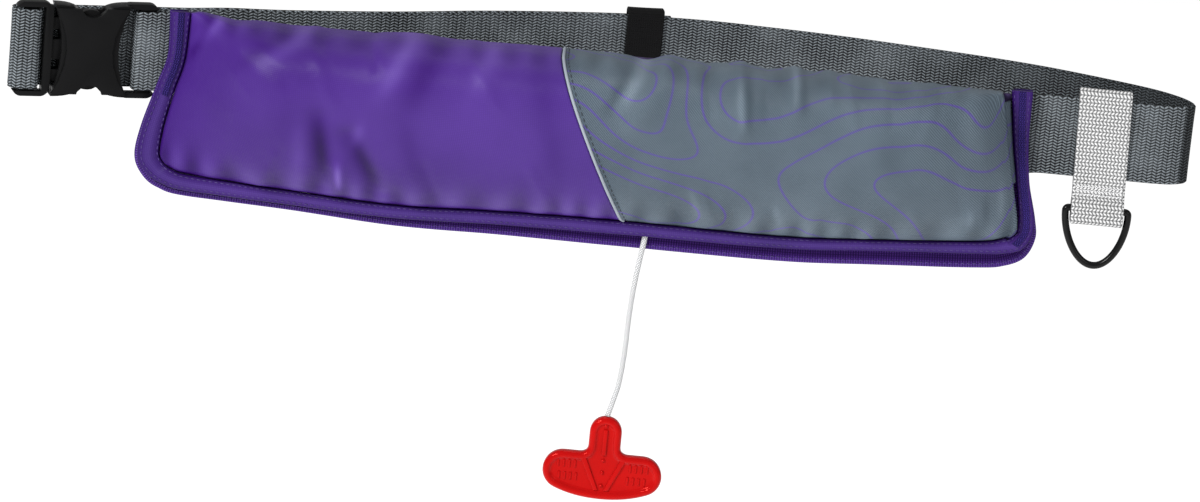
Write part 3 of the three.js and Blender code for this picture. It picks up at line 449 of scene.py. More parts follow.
def ribbon(line, width, thick, direction, step=1.5):
    """A woven strap along a line seen from above, with slightly thicker, rounded edges."""
    line, at = evenly(line, step)
    around = [(-1, -0.5), (-0.985, 0.1), (-0.95, 0.5), (-0.9, 0.5), (-0.6, 0.44), (0, 0.42)]
    half = [(x, y * thick) for x, y in around] + [(-x, y * thick) for x, y in around[-2::-1]]
    section = half + [(x, -y) for x, y in half[::-1] if abs(x) < 0.99] + half[:1]
    sides = [offset_line(line, y) for _, y in section]
    points = np.stack([direction(side, x * width / 2) for side, (x, _) in zip(sides, section)], 1)
    return points, strip_map(at, np.array([x * width / 2 for x, _ in section]))


def strap_loop(name, line, width, thick, direction, step, finish, node):
    """A closed loop of woven strap as a finished piece."""
    points, uv = ribbon(line, width, thick, direction, step)
    points[-1] = points[0]
    as_piece(name, surface(points, uv, weld=True), finish, node)


def upright(line, height):
    """A line seen from above, at a height. The front run hangs with the pouch's top edge."""
    drop = np.where(line[:, 1] < front_run_y + 1.5 * layer_pitch, top_drop(line[:, 0]), 0)
    return np.stack([line[:, 0], line[:, 1], height - drop], 1)


buckle_end_x = pouch_shift - 0.943 * pouch_half - buckle_standoff
bar_y = front_run_y + belt_thick / 2 + gap + bar_thick / 2
wrap_radius = bar_thick / 2 + gap + belt_thick / 2
rear_left_y = bar_y + body_thick / 2 + 2 * gap + belt_thick / 2
back_layer_y = bar_y + wrap_radius
socket_bar_x = buckle_end_x - socket_bar_end + bar_thick / 2
plug_bar_x = buckle_end_x - plug_bar_start - bar_thick / 2
hairpin = (rear_left_y - back_layer_y) / 2
outer_fold = (rear_left_y + layer_pitch - front_run_y) / 2
outer_fold_x = buckle_end_x - buckle_length + fold_setback
loop_left_x = outer_fold_x - outer_fold - belt_thick / 2
pouch_right_x = pouch_shift + 0.957 * pouch_half
loop_half = (pouch_right_x + right_reach - loop_left_x) / 2
loop_middle = loop_left_x + loop_half
keeper_x = loop_middle + keeper_shift
fold_start_x = loop_middle + loop_half * fold_start
hairpin_x = outer_fold_x + 2 * layer_pitch
rear_line = spline(
    [(fold_start_x, front_run_y)]
    + [(loop_middle + x * loop_half, front_run_y + back * loop_depth) for x, back in rear_run]
    + [(buckle_end_x + 0.35 * sewn_length, rear_left_y + 2 * gap),
       (buckle_end_x - 0.15 * sewn_length, rear_left_y)], np.linspace(0, 1, 360))
rear_whole = np.concatenate([rear_line, [(hairpin_x, rear_left_y)]])
tail_line = offset_line(rear_whole, layer_pitch)[rear_whole[:, 0] < keeper_x + tail_reach][::-1]
sewn_y = front_run_y + layer_pitch
belt_line = np.concatenate([
    [(buckle_end_x + sewn_length, sewn_y), (buckle_end_x + 0.6 * sewn_length, sewn_y),
     (buckle_end_x + 0.3 * sewn_length, sewn_y + gap), (buckle_end_x, back_layer_y)],
    arc(socket_bar_x, bar_y, wrap_radius, 90, 270, 16),
    [(buckle_end_x, front_run_y), (fold_start_x, front_run_y)],
    rear_whole[1:-1],
    arc(hairpin_x, back_layer_y + hairpin, hairpin, 90, 270, 10),
    arc(plug_bar_x, bar_y, wrap_radius, 90, -90, 16),
    arc(outer_fold_x, front_run_y + outer_fold, outer_fold, 270, 90, 24),
    tail_line[1:]])


def webbing(name, dark, light, row, length, sway, depth, roughness, turned=False, mottle=0.35,
            power=1.5):
    """Woven strap: rows that zig-zag along it, with a dark break wherever they turn."""
    made, tree, shader = finish_named(name, roughness, Specular_IOR_Level=0.1)
    along, across = pattern_place(tree)
    if turned:
        along, across = across, along
    zig = calc(tree, "PINGPONG", calc(tree, "DIVIDE", along, length), 0.5)
    rows = calc(tree, "MULTIPLY_ADD", zig, 2 * sway, calc(tree, "DIVIDE", across, row))
    inside = calc(tree, "ABSOLUTE", calc(tree, "MULTIPLY_ADD", calc(tree, "FRACT", rows), 2.0, -1.0))
    ridge = calc(tree, "POWER", calc(tree, "SUBTRACT", 1.0, inside), power)
    broken = calc(tree, "POWER", wave(tree, along, length / 2), 3.0)
    height = calc(tree, "MULTIPLY", ridge, calc(tree, "MULTIPLY_ADD", broken, -0.75, 1.0))
    uneven = calc(tree, "MULTIPLY_ADD", speckle(tree, 45), mottle, -mottle / 2)
    tint(tree, shader, colour(*dark), colour(*light), calc(tree, "ADD", height, uneven))
    shaded(tree, shader, 0.6)
    relief(tree, shader, height, depth)
    return made


grey_webbing = webbing("grey_webbing", (4, 5, 6), (178, 187, 194), 0.0014, 0.00435,
                       0.72, 0.0006, 0.7, power=1.9)
belt_points, belt_uv = ribbon(belt_line, belt_width, belt_thick, upright)
# Little light comes into the loop beside its right fold
deep = np.interp(belt_points[..., 0], [fold_start_x - 130, fold_start_x + 4], [0, -1.25])
belt_middle = belt_points[..., 1].mean(axis=1, keepdims=True)
inner = belt_points[..., 1] < belt_middle
behind = belt_middle > front_run_y + 2 * layer_pitch
belt_made = surface(curl(belt_points), belt_uv, weld=True, cap=True, shade=deep * inner * behind)
as_piece("waist_strap", belt_made, grey_webbing, "belt_webbing")


# Buckle
# A black side-release buckle in two mouldings: the socket with its raised hourglass face
# and windows, and the plug, whose sprung prongs stand in those windows.

black_plastic = moulded("black_plastic", (4, 4, 5), (8, 8, 9), 0.3, 2600,
                       0.00004, Specular_IOR_Level=0.05)


def node_copy(name):
    """A CAD node's mesh joined up, with its flat faces made whole."""
    bm = bmesh.new()
    bm.from_mesh(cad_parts[name].data)
    bmesh.ops.remove_doubles(bm, verts=bm.verts, dist=2e-6)
    bmesh.ops.dissolve_limit(bm, angle_limit=math.radians(1), verts=bm.verts, edges=bm.edges)
    return bm


for node, title in (("buckle_socket", "socket_body"), ("buckle_plug", "plug_body")):
    soften_edges(as_piece(title, node_copy(node), black_plastic, node), 0.5, 3, 28, True)


# Strap keeper
# A sleeve of black woven elastic round the belt's rear run and its tail. It stands a little
# taller than the webbing.

keeper_width, keeper_thick, keeper_slack, keeper_ease = 18.0, 1.3, 2.2, 0.5
black_elastic = webbing("black_elastic", (4, 4, 5), (22, 22, 23), 0.0011, 0.0022, 0.0,
                        0.0003, 0.85, turned=True)
i = int(np.argmax(rear_line[:, 0] < keeper_x))
keeper_along = rear_line[i - 1] - rear_line[i + 1]
keeper_along = np.array([*keeper_along / np.linalg.norm(keeper_along), 0])
keeper_out = np.array([-keeper_along[1], keeper_along[0], 0])
keeper_middle = np.array([*rear_line[i], 0]) + keeper_out * layer_pitch / 2
keeper_in = (2 * belt_thick + gap) / 2 + keeper_ease + keeper_thick / 2
keeper_tall = belt_width / 2 + keeper_slack + keeper_thick / 2
keeper_corners = [(1, 1), (-1, 1), (-1, -1), (1, -1)]
keeper_path, _ = evenly(np.concatenate([
    arc(x * (keeper_in - 1), z * (keeper_tall - 1), 1, 90 * k, 90 * k + 90, 4)
    for k, (x, z) in enumerate(keeper_corners)] + [[(keeper_in, keeper_tall - 1)]]), 1.0)


def across_keeper(line, offset):
    return (keeper_middle + line[:, :1] * keeper_out + offset * keeper_along
            + line[:, 1:2] * np.array([0, 0, 1]))


strap_loop("keeper_sleeve", keeper_path, keeper_width, keeper_thick, across_keeper, 1.0,
           black_elastic, "strap_keeper")


# Tab and ring
# A 25 mm white webbing tab goes over the belt and is bar-tacked below it. Its loop holds a
# black coated D ring, which swings.

tab_x, tab_width, tab_thick, tab_rise, tab_length = pouch_right_x + 34.5, 25.0, 1.7, 3.6, 66.0
stitch_drop, stitch_height, ring_stock, ring_drop, ring_slack = 3.5, 5.5, 3.4, 27.1, 6.0
tab_lean = 0.038
tab_half = belt_thick / 2 + gap + tab_thick / 2
sewn_half = tab_thick / 2 + 0.05
tab_top = belt_width / 2 + tab_rise + tab_thick
tab_foot = tab_top - tab_length
stitch_top = -belt_width / 2 - stitch_drop
ring_bar_z = tab_foot + tab_thick + ring_slack
eye_half = ring_stock / 2 + gap + tab_thick / 2
loop_z = tab_foot + eye_half + tab_thick / 2
arch_z = tab_top - tab_half - tab_thick / 2
tab_path = np.concatenate([
    arc(0, arch_z, tab_half, 90, 180, 8),
    [(-tab_half, stitch_top + 4), (-sewn_half, stitch_top), (-sewn_half, stitch_top - stitch_height),
     (-eye_half, ring_bar_z + eye_half)],
    arc(0, loop_z, eye_half, 180, 360, 14),
    [(eye_half, ring_bar_z + eye_half), (sewn_half, stitch_top - stitch_height), (sewn_half, stitch_top),
     (tab_half, stitch_top + 4)],
    arc(0, arch_z, tab_half, 0, 90, 8)])


def across_tab(line, offset):
    """The tab's path is drawn from the side, as y and z. The tab leans to the right."""
    x = tab_x + offset + tab_lean * (tab_top - line[:, 1])
    return np.stack([x, front_run_y + line[:, 0], line[:, 1]], 1)


white_webbing = webbing("white_webbing", (58, 60, 62), (255, 255, 255), 0.0017, 0.0034, 0.6,
                        0.0006, 0.75, mottle=0.1, power=0.7)
strap_loop("white_tab", tab_path, tab_width, tab_thick, across_tab, 0.8, white_webbing,
           "ring_tab")

black_coat = moulded("black_coat", (6, 6, 6), (12, 12, 12), 0.2, 400, 0.00002,
                    Specular_IOR_Level=0.15)
ring_half = tab_width / 2 + ring_stock / 2 + 2 * gap
corner = ring_stock / 2


def cubic(a, b, c, d, steps):
    t = np.linspace(0, 1, steps + 1)[:, None]
    a, b, c, d = (np.array(p, float) for p in (a, b, c, d))
    return (1 - t) ** 3 * a + 3 * t * (1 - t) ** 2 * b + 3 * t ** 2 * (1 - t) * c + t ** 3 * d


ring_right = np.concatenate([
    [(0, 0)], bend((ring_half - corner, 0), (ring_half, 0), (ring_half, -corner), 6),
    cubic((ring_half, -corner), (ring_half, -0.5 * ring_drop), (0.55 * ring_half, -ring_drop),
          (0, -ring_drop), 28)[1:]])
ring_path = np.concatenate([ring_right, ring_right[1:-1][::-1] * (-1, 1)])
ring_lean = tab_lean * (tab_top - ring_bar_z - ring_path[:, 1])
ring_line = np.stack([tab_x + ring_path[:, 0] + ring_lean, np.full(len(ring_path), front_run_y),
                      ring_bar_z + ring_path[:, 1]], 1)
as_piece("black_ring", tube(ring_line, ring_stock / 2, 20, closed=True), black_coat, "d_ring",
         body="ring")


# Pouch outline
# The pouch is cut long and slim with rounded lower corners. Its outline, its front's hem
# and the cover's belly are given here, for all the pieces that are sewn to them.

outline = [
    (-0.943, 0.0, 0.0, 0.95), (-0.941, 0.221, 0.0, 0.8), (-0.96, 0.368, 0.0, 0.82),
    (-0.989, 0.579, 0.0, 0.98), (-1.0, 0.734, 0.08, 1.05), (-0.983, 0.832, 0.25, 0.95),
    (-0.946, 0.9, 0.42, 0.82), (-0.871, 0.942, 0.5, 0.74), (-0.632, 0.968, 0.5, 0.68),
    (-0.408, 0.995, 0.66, 0.62), (-0.188, 0.99, 0.8, 0.64), (0.083, 0.99, 0.92, 0.66),
    (0.434, 0.987, 0.98, 0.58), (0.654, 0.958, 1.04, 0.54), (0.874, 0.924, 1.05, 0.6),
    (0.939, 0.9, 0.95, 0.7), (0.981, 0.848, 0.75, 0.8), (1.0, 0.747, 0.35, 0.85),
    (0.994, 0.642, 0.08, 0.75), (0.971, 0.447, 0.0, 0.6), (0.96, 0.245, 0.0, 0.72),
    (0.957, 0.0, 0.0, 1.0)]
last_row, left_corner, right_corner = len(outline) - 1, 5.3, 17.0
pouch_depth, cover_wall, panel_thick, binding_width = 38.0, 1.6, 3.4, 9.0
band_width, band_thick, hem_rise, mouth_depth, end_rounding = 10.0, 2.0, 8.0, 3.4, 58.0
outline_points = [(pouch_shift + x * pouch_half, pouch_top - down * pouch_height)
                  for x, down, _, _ in outline]
trim_points = [(rise * hem_rise, band * band_width) for _, _, rise, band in outline]
panel_back_y = front_run_y - belt_thick / 2 - gap
panel_front_y = panel_back_y - panel_thick
sheet_y = panel_front_y - gap


def always(value):
    """The same value at every row of the outline."""
    return lambda row: 0 * row + value


def smoothstep(x, low, high):
    t = np.clip((np.asarray(x, float) - low) / (high - low), 0, 1)
    return t * t * (3 - 2 * t)


def rim_point(row, inset):
    """A point of the outline at a row, moved in by a distance."""
    t = np.asarray(row, float) / last_row
    step = 0.02 / last_row
    along = unit(spline(outline_points, t + step) - spline(outline_points, t - step))
    place = spline(outline_points, t) + np.stack([-along[..., 1] * inset, along[..., 0] * inset], -1)
    level = (t <= 0) | (t >= 1)
    place[..., 1] = np.where(level, pouch_top, place[..., 1])
    return place


def rise_at(row):
    return spline(trim_points, np.asarray(row, float) / last_row)[..., 0]


def band_at(row):
    return spline(trim_points, np.asarray(row, float) / last_row)[..., 1]


def cover_inset(row):
    return rise_at(row) + band_at(row) + gap


def mouth_at(row):
    """How far the hem stands forward of the back binding."""
    return mouth_depth * smoothstep(rise_at(row) / hem_rise, 0.1, 0.6)


def outline_patch(inset_at):
    """A sheet over the outline, moved in: u runs to the right and w up."""
    def rim(start, stop):
        rows = np.linspace(start, stop, 241)
        return rim_point(rows, inset_at(rows))

    def by_height(points):
        z, x = np.maximum.accumulate(points[:, 1]), points[:, 0]
        return lambda w: np.stack(
            [np.interp(z[0] + (z[-1] - z[0]) * w, z, x), z[0] + (z[-1] - z[0]) * w], -1)

    left, right = by_height(rim(left_corner, 0)), by_height(rim(right_corner, last_row))
    foot = rim(left_corner, right_corner)
    foot_x = np.maximum.accumulate(foot[:, 0])

    def at(u, w):
        u, w = np.broadcast_arrays(np.asarray(u, float), np.asarray(w, float))
        x = foot_x[0] + (foot_x[-1] - foot_x[0]) * u
        bottom = np.stack([x, np.interp(x, foot_x, foot[:, 1])], -1)
        u, w = u[..., None], w[..., None]
        one = np.ones(u.shape[:-1])
        top = left(one) * (1 - u) + right(one) * u
        low = left(0 * one) * (1 - u) + right(0 * one) * u
        across = left(w[..., 0]) * (1 - u) + right(w[..., 0]) * u
        place = bottom * (1 - w) + top * w + across - (low * (1 - w) + top * w)
        place[..., 1] -= top_drop(place[..., 0]) * w[..., 0]
        return place

    return at


# The places round a tape's section, as shares of its width
tape_across = np.array([0, 0, 0.05, 0.15, 0.33, 0.5, 0.67, 0.85, 0.95, 1, 1, 0.95, 0.05, 0])


def rim_strip(start, stop, outer_at, inner_at, back_at, front_at, edges=None, crown=0.0, step=1.4,
              wander=0.0):
    """A flat tape along the outline, with rounded edges and a crown to its front.

    Its edges may give the shade at its outer edge, its middle and its inner edge."""
    rows = np.linspace(start, stop, max(12, round(abs(stop - start) / last_row * 640 / step)))
    outer, inner = rim_point(rows, outer_at(rows)), rim_point(rows, inner_at(rows))
    back, front = back_at(rows), front_at(rows)
    lengths = lengths_along(outer)
    depths = [0.3, 0.75, 0.97, 1, 1 + crown, 1 + 1.3 * crown, 1 + crown, 1, 0.97, 0.75, 0.3, 0, 0, 0.3]
    ripple = wander * sum(np.sin(lengths / pitch + shift) for pitch, shift in
                          ((9.0, 0), (5.3, 1.1), (15.7, 0.4)))
    points = np.stack([np.stack([
        outer[:, 0] + (inner - outer)[:, 0] * a, back + (front - back) * b - ripple * (b > 0.5),
        outer[:, 1] + (inner - outer)[:, 1] * a], 1) for a, b in zip(tape_across, depths)], 1)
    width = np.linalg.norm(inner - outer, axis=1)
    shade = None
    if edges:
        first, middle, last = edges
        row = np.interp(tape_across, [0, 0.12, 0.45, 0.8, 1], [first, first / 2, middle, last / 3, last])
        shade = np.broadcast_to(row, points.shape[:2])
    uv = strip_map(lengths, width[:, None] * tape_across)
    return surface(curl(points), uv, weld=True, cap=True, shade=shade)


# Back panel and binding
# The pouch's flat back is a padded cloth panel, bound all round with a ribbed purple tape
# that shows below the hem.

dark_cloth, tree, shader = finish_named("dark_cloth", 0.8, Specular_IOR_Level=0.2)
place = add(tree, "TexCoord").outputs["Object"]
cells = add(tree, "TexVoronoi", {"Vector": place, "Scale": 420.0})
tint(tree, shader, colour(30, 25, 44), colour(62, 50, 90), calc(tree, "MULTIPLY", cells.outputs[0], 1.6))
relief(tree, shader, cells.outputs[0], 0.0004)
panel_at = outline_patch(always(binding_width + 2 * gap))
u, w = shares(181, 45)
flat = panel_at(u, w)
edge = np.minimum(1, np.minimum(np.minimum(u, 1 - u) * 40, np.minimum(w, 1 - w) * 9))
puff = 0.55 * np.sin(edge * math.pi / 2)
back_face = np.stack([flat[..., 0], panel_back_y - 0.6 + puff, flat[..., 1]], -1)
front_face = np.stack([flat[..., 0], panel_front_y + 0.6 - puff, flat[..., 1]], -1)
panel_rows = np.concatenate([back_face, front_face[::-1], back_face[:1]])
panel_uv = np.concatenate([flat, flat[::-1], flat[:1]])
panel_made = surface(curl(panel_rows), panel_uv, weld=True, cap=True)
panel = as_piece("padded_panel", panel_made, dark_cloth, "back_panel")

purple_tape = webbing("purple_tape", (42, 22, 84), (106, 72, 164), 0.0012, 0.0024, 0.0,
                      0.0003, 0.75, turned=True, mottle=0.2)
# Painted shade on the binding: darkest along its middle and inner edge, as the shadow in the gap under the
# band
binding_made = rim_strip(
    0, last_row, always(0), always(binding_width), always(panel_back_y), always(panel_front_y),
    (0.1, -1.1, -1.4), wander=0.05)
as_piece("bound_edge", binding_made, purple_tape, "back_binding")


# Front band
# A folded strip of the purple cloth round the sides and the hem of the pouch's front. The
# cover is sewn in along its inner edge.

def coated_cloth(name, dark, light, roughness, twill, depth, lines=None):
    """Coated nylon: a fine weave or twill, and the soft unevenness of handled cloth."""
    made, tree, shader = finish_named(name, roughness, Specular_IOR_Level=0.14)
    along, up = pattern_place(tree)
    if twill:
        weave = wave(tree, calc(tree, "ADD", along, calc(tree, "MULTIPLY", up, 0.8)), 0.0011)
    else:
        weave = calc(tree, "MULTIPLY", wave(tree, along, 0.0009), wave(tree, up, 0.0009))
    cloud = speckle(tree, 22, 3.0)
    share = calc(tree, "ADD", calc(tree, "MULTIPLY", cloud, 0.7), calc(tree, "MULTIPLY", weave, 0.35))
    plain = blend(tree, colour(*dark), colour(*light), share)
    if lines:
        plain = blend(tree, plain, colour(84, 62, 148), lines(tree))
    tree.links.new(plain, shader.inputs["Base Color"])
    shaded(tree, shader, 0.62)
    fine = add(tree, "Bump", {"Height": weave, "Distance": depth, "Strength": 1.0})
    soft = add(tree, "Bump", {"Height": speckle(tree, 70, 3.0), "Distance": 0.0008, "Strength": 0.6,
                              "Normal": fine.outputs[0]})
    tree.links.new(soft.outputs[0], shader.inputs["Normal"])
    return made


band_cloth = coated_cloth("band_cloth", (36, 18, 80), (76, 46, 128), 0.42, False, 0.00006)


def band_back(row):
    return sheet_y - mouth_at(row)


def band_face(row):
    return band_back(row) - band_thick


# Painted shade on the band: darker at both edges, with a painted highlight along its middle
band_made = rim_strip(0, last_row, rise_at, lambda r: rise_at(r) + band_at(r), band_back, band_face,
                      (-0.6, 0.35, -1.0), crown=0.12, wander=0.1)
band = as_piece("front_edge", band_made, band_cloth, "front_band")


# Folded bladder
# The inflatable body of yellow coated nylon, welded along its edges. It lies folded inside
# the pouch, where nothing shows of it, and keeps the plain form of the CAD solid.

yellow_cloth = moulded("yellow_cloth", (190, 160, 40), (215, 185, 60), 0.6, 1500, 0.0001)
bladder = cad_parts["folded_bladder"]
bladder.data.materials.clear()
bladder.data.materials.append(yellow_cloth)


# Covers
# Two sheets of coated nylon, purple and grey, meet at a slanting seam. They are gathered
# into the hem, swell over the folded bladder and go over the top to the back panel.

cover_section = [(0.0, 0.0), (0.24, 0.075), (0.52, 0.21), (0.76, 0.38), (0.93, 0.56), (1.0, 0.72),
                 (0.97, 0.86), (0.82, 0.95), (0.56, 0.996), (0.26, 1.004), (0.0, 1.0)]
seam_top_x, seam_foot_x, free_edge, flap_width = -19.0, 16.0, 4.4, 15.0
# The main folds: x share and down share at both ends, reach and lift shares
folds = [
    (-0.37, -0.06, -0.46, 0.24, 0.13, 0.045), (-0.585, 0.39, -0.57, 0.77, 0.065, -0.05),
    (-0.52, 0.47, -0.443, 0.79, 0.06, -0.055), (-0.541, 0.65, -0.536, 0.8, 0.05, 0.045),
    (-0.74, 0.1, -0.66, 0.5, 0.09, 0.03), (0.13, -0.05, 0.058, 0.19, 0.06, -0.05),
    (0.18, -0.05, 0.1, 0.24, 0.06, 0.045), (0.314, 0.03, 0.327, 0.23, 0.05, 0.05),
    (0.43, -0.04, 0.438, 0.12, 0.045, 0.045), (0.506, -0.06, 0.509, 0.06, 0.045, 0.04),
    (0.3, 0.7, 0.33, 0.85, 0.045, 0.035), (0.9, 0.5, 0.915, 0.69, 0.05, 0.04),
    (0.84, 0.62, 0.85, 0.72, 0.045, 0.035)]
cover_patch = outline_patch(cover_inset)


def swell(u):
    side = np.clip(np.minimum(u, 1 - u) * pouch_length / end_rounding, 0, 1)
    return np.sin(side * math.pi / 2) ** 0.85


def fold_lift(place, rows, fade=0.0):
    """How far rows of folds lift the cloth at a place. They may fade at both ends."""
    at = place[..., [0, 2]]
    lift = np.zeros(at.shape[:-1])
    for x1, down1, x2, down2, reach, height in rows:
        start = np.array([pouch_shift + x1 * pouch_half, pouch_top - down1 * pouch_height])
        line = np.array([pouch_shift + x2 * pouch_half, pouch_top - down2 * pouch_height]) - start
        part = np.clip(((at - start) @ line) / (line @ line), 0, 1)
        away = np.linalg.norm(at - start - part[..., None] * line, axis=-1)
        strength = height * pouch_depth * (1 - fade * (2 * part - 1) ** 2)
        lift += strength * np.exp(-((away / (reach * pouch_height)) ** 2))
    return lift


def skin(u, v):
    """The inner face of the covers before their folds: v runs from the hem over the top."""
    profile = spline(cover_section, v)
    place = cover_patch(u, np.minimum(1, profile[..., 1]))
    crown = np.maximum(0, profile[..., 1] - 1) * pouch_height
    row = left_corner + (right_corner - left_corner) * u
    hem = mouth_at(row) * (1 - smoothstep(v, 0, 0.5))
    out = profile[..., 0] * pouch_depth * swell(u)
    return np.stack([place[..., 0], sheet_y - hem - out, place[..., 1] + crown * swell(u)], -1)


def skin_normal(u, v):
    step = 0.004
    (u_low, u_high), (v_low, v_high) = (np.clip([t - step, t + step], 0, 1) for t in (u, v))
    along, up = skin(u_high, v) - skin(u_low, v), skin(u, v_high) - skin(u, v_low)
    normal = np.cross(along, up)
    return normal / np.maximum(np.linalg.norm(normal, axis=-1)[..., None], 1e-9)


# Fine folds that only the cloth shows: the same columns as the main folds
fine_folds = [
    (-0.86, 0.05, -0.74, 0.3, 0.03, 0.012), (-0.8, 0.02, -0.66, 0.22, 0.03, -0.012),
    (-0.62, 0.02, -0.56, 0.3, 0.035, 0.014), (-0.5, -0.02, -0.47, 0.12, 0.025, -0.014),
    (-0.28, 0.0, -0.2, 0.25, 0.03, 0.012), (-0.12, 0.55, -0.05, 0.85, 0.03, 0.012),
    (-0.35, 0.6, -0.3, 0.9, 0.028, -0.014), (-0.68, 0.6, -0.72, 0.88, 0.028, 0.014),
    (0.24, 0.0, 0.26, 0.2, 0.025, -0.02), (0.37, -0.02, 0.38, 0.18, 0.025, -0.018),
    (0.55, 0.0, 0.57, 0.16, 0.028, 0.018), (0.64, -0.02, 0.65, 0.14, 0.025, -0.015),
    (0.74, 0.0, 0.72, 0.2, 0.028, 0.016), (0.2, 0.72, 0.22, 0.92, 0.02, -0.016),
    (0.4, 0.68, 0.43, 0.9, 0.022, 0.016), (0.52, 0.7, 0.5, 0.9, 0.022, -0.014),
    (0.72, 0.6, 0.76, 0.82, 0.025, 0.014), (0.8, 0.4, 0.83, 0.7, 0.025, -0.012)]


# Where satin folds show darker or lighter: the same columns, with the shade as the last
shade_folds = [
    (-0.59, 0.369, -0.565, 0.778, 0.045, -0.9), (-0.519, 0.454, -0.442, 0.781, 0.045, -0.85),
    (-0.539, 0.625, -0.534, 0.781, 0.018, 1.35), (-0.374, -0.081, -0.46, 0.239, 0.045, 0.8),
    (-0.327, -0.041, -0.405, 0.317, 0.06, -0.4), (-0.573, -0.062, -0.719, 0.156, 0.035, 0.6),
    (-0.643, -0.031, -0.776, 0.199, 0.035, -0.25), (-0.792, -0.068, -0.883, 0.142, 0.03, 0.68),
    (-0.828, -0.06, -0.895, 0.225, 0.025, -0.5), (-0.21, -0.052, -0.265, 0.211, 0.05, 0.38),
    (-0.403, 0.367, -0.353, 0.761, 0.05, -0.25), (-0.628, 0.417, -0.624, 0.771, 0.04, 0.38),
    (-0.493, 0.387, -0.51, 0.542, 0.03, 0.45), (-0.121, 0.003, -0.05, 0.693, 0.06, -0.2),
    (0.13, -0.068, 0.058, 0.179, 0.035, 1.05), (0.094, -0.045, 0.029, 0.221, 0.03, -0.5),
    (0.314, 0.026, 0.328, 0.235, 0.02, 0.75), (0.331, 0.023, 0.345, 0.231, 0.02, -0.35),
    (0.43, -0.039, 0.442, 0.119, 0.02, 0.68), (0.448, -0.043, 0.46, 0.125, 0.02, -0.3),
    (0.505, -0.076, 0.51, 0.003, 0.02, 0.6), (0.9, 0.455, 0.911, 0.64, 0.02, 0.6),
    (0.84, 0.57, 0.845, 0.665, 0.02, 0.52), (0.869, 0.488, 0.88, 0.668, 0.02, -0.4),
    (0.229, 0.58, 0.258, 0.736, 0.02, 0.52), (0.262, 0.573, 0.293, 0.738, 0.02, -0.3),
    (0.416, 0.614, 0.433, 0.748, 0.02, 0.45), (0.621, 0.089, 0.685, 0.529, 0.06, -0.15),
    (0.79, 0.001, 0.864, 0.387, 0.05, 0.3)]


def near(v, middle, reach):
    return np.exp(-((v - middle) / reach) ** 2)


def gathers(x):
    """Small uneven waves where the hem gathers the cloth."""
    return np.sin(x / 2.6 + 2 * np.sin(x / 17))


def ripples(x):
    """Small uneven waves below the top seam."""
    return np.sin(x / 2.4 + 3 * np.sin(x / 31))


# Painted shade and highlight on the covers: darker in the satin creases and lighter on their ridges, lighter
# and darker on the hem's gathers and the ripples below the top, a painted shadow along the hem seam, and
# darker towards the left end and low on the left half.
def cover_shade(u, v):
    base = skin(u, v)
    x = base[..., 0]
    lines = fold_lift(base, shade_folds, 0.75) / pouch_depth
    waves = 0.45 * near(v, 0.1, 0.08) * gathers(x) + 0.2 * near(v, 0.82, 0.1) * ripples(x)
    # Painted shadow along the hem seam, under the cover's belly
    seam = -1.1 * (1 - smoothstep(v, 0.0, 0.05))
    far = -0.3 * (1 - smoothstep(u, 0.02, 0.4)) - 0.15 * near(v, 0.15, 0.2) * (u < 0.55)
    return lines + far + waves + seam


def cover(u, v, height, lift=0.0):
    """The folded skin at a height above the inner face. The sewn edges lie flat."""
    base = skin(u, v)
    x = base[..., 0]
    fold = fold_lift(base, folds + fine_folds) * swell(u) * smoothstep(v, 0, 0.12)
    gather = 0.3 * near(v, 0.1, 0.09) * (gathers(x) + np.sin(x / 4.1 + 1.3))
    fold += (gather + 0.35 * near(v, 0.82, 0.12) * ripples(x)) * swell(u)
    free = np.minimum(1, 4 * swell(u)) * smoothstep(v, 0, 0.1)
    free = free[..., None]
    outward = unit(np.array([0, -1.0, 0]) * (1 - free) + skin_normal(u, v) * free)
    point = base + outward * (fold + height)[..., None]
    point[..., 1] -= lift
    point[..., 1] = np.where(v >= 1, base[..., 1], point[..., 1])
    return point


def height_share(v):
    return np.minimum(1, spline(cover_section, v)[..., 1])


def seam_share(v, offset):
    """The share of the length where the slanting seam between the covers lies."""
    up = height_share(v)
    target = seam_foot_x + (seam_top_x - seam_foot_x) * up + offset
    low, high = np.zeros(np.shape(v)), np.ones(np.shape(v))
    for _ in range(24):
        middle = (low + high) / 2
        before = cover_patch(middle, up)[..., 0] < target
        low, high = np.where(before, middle, low), np.where(before, high, middle)
    return (low + high) / 2


flap_share = flap_width / pouch_length
flap_rise = cover_wall + 3 * gap


def right_lift(u, v):
    return flap_rise * smoothstep(u, 1 - 2.4 * flap_share, 1 - flap_share) * smoothstep(v, 0, 0.12)


def right_share(t, v):
    return seam_share(v, gap / 2) * (1 - t) + (1 - free_edge * height_share(v) / pouch_length) * t


def cloth_map(points):
    """A pattern map for a sheet: its length to the right and its length up."""
    across = np.linalg.norm(np.diff(points, axis=1), axis=-1)
    up = np.linalg.norm(np.diff(points, axis=0), axis=-1)
    u = np.concatenate([np.zeros((len(points), 1)), np.cumsum(across, axis=1)], 1)
    v = np.concatenate([np.zeros((1, points.shape[1])), np.cumsum(up, axis=0)], 0)
    return np.stack([points[:, :1, 0] + u, v], -1)


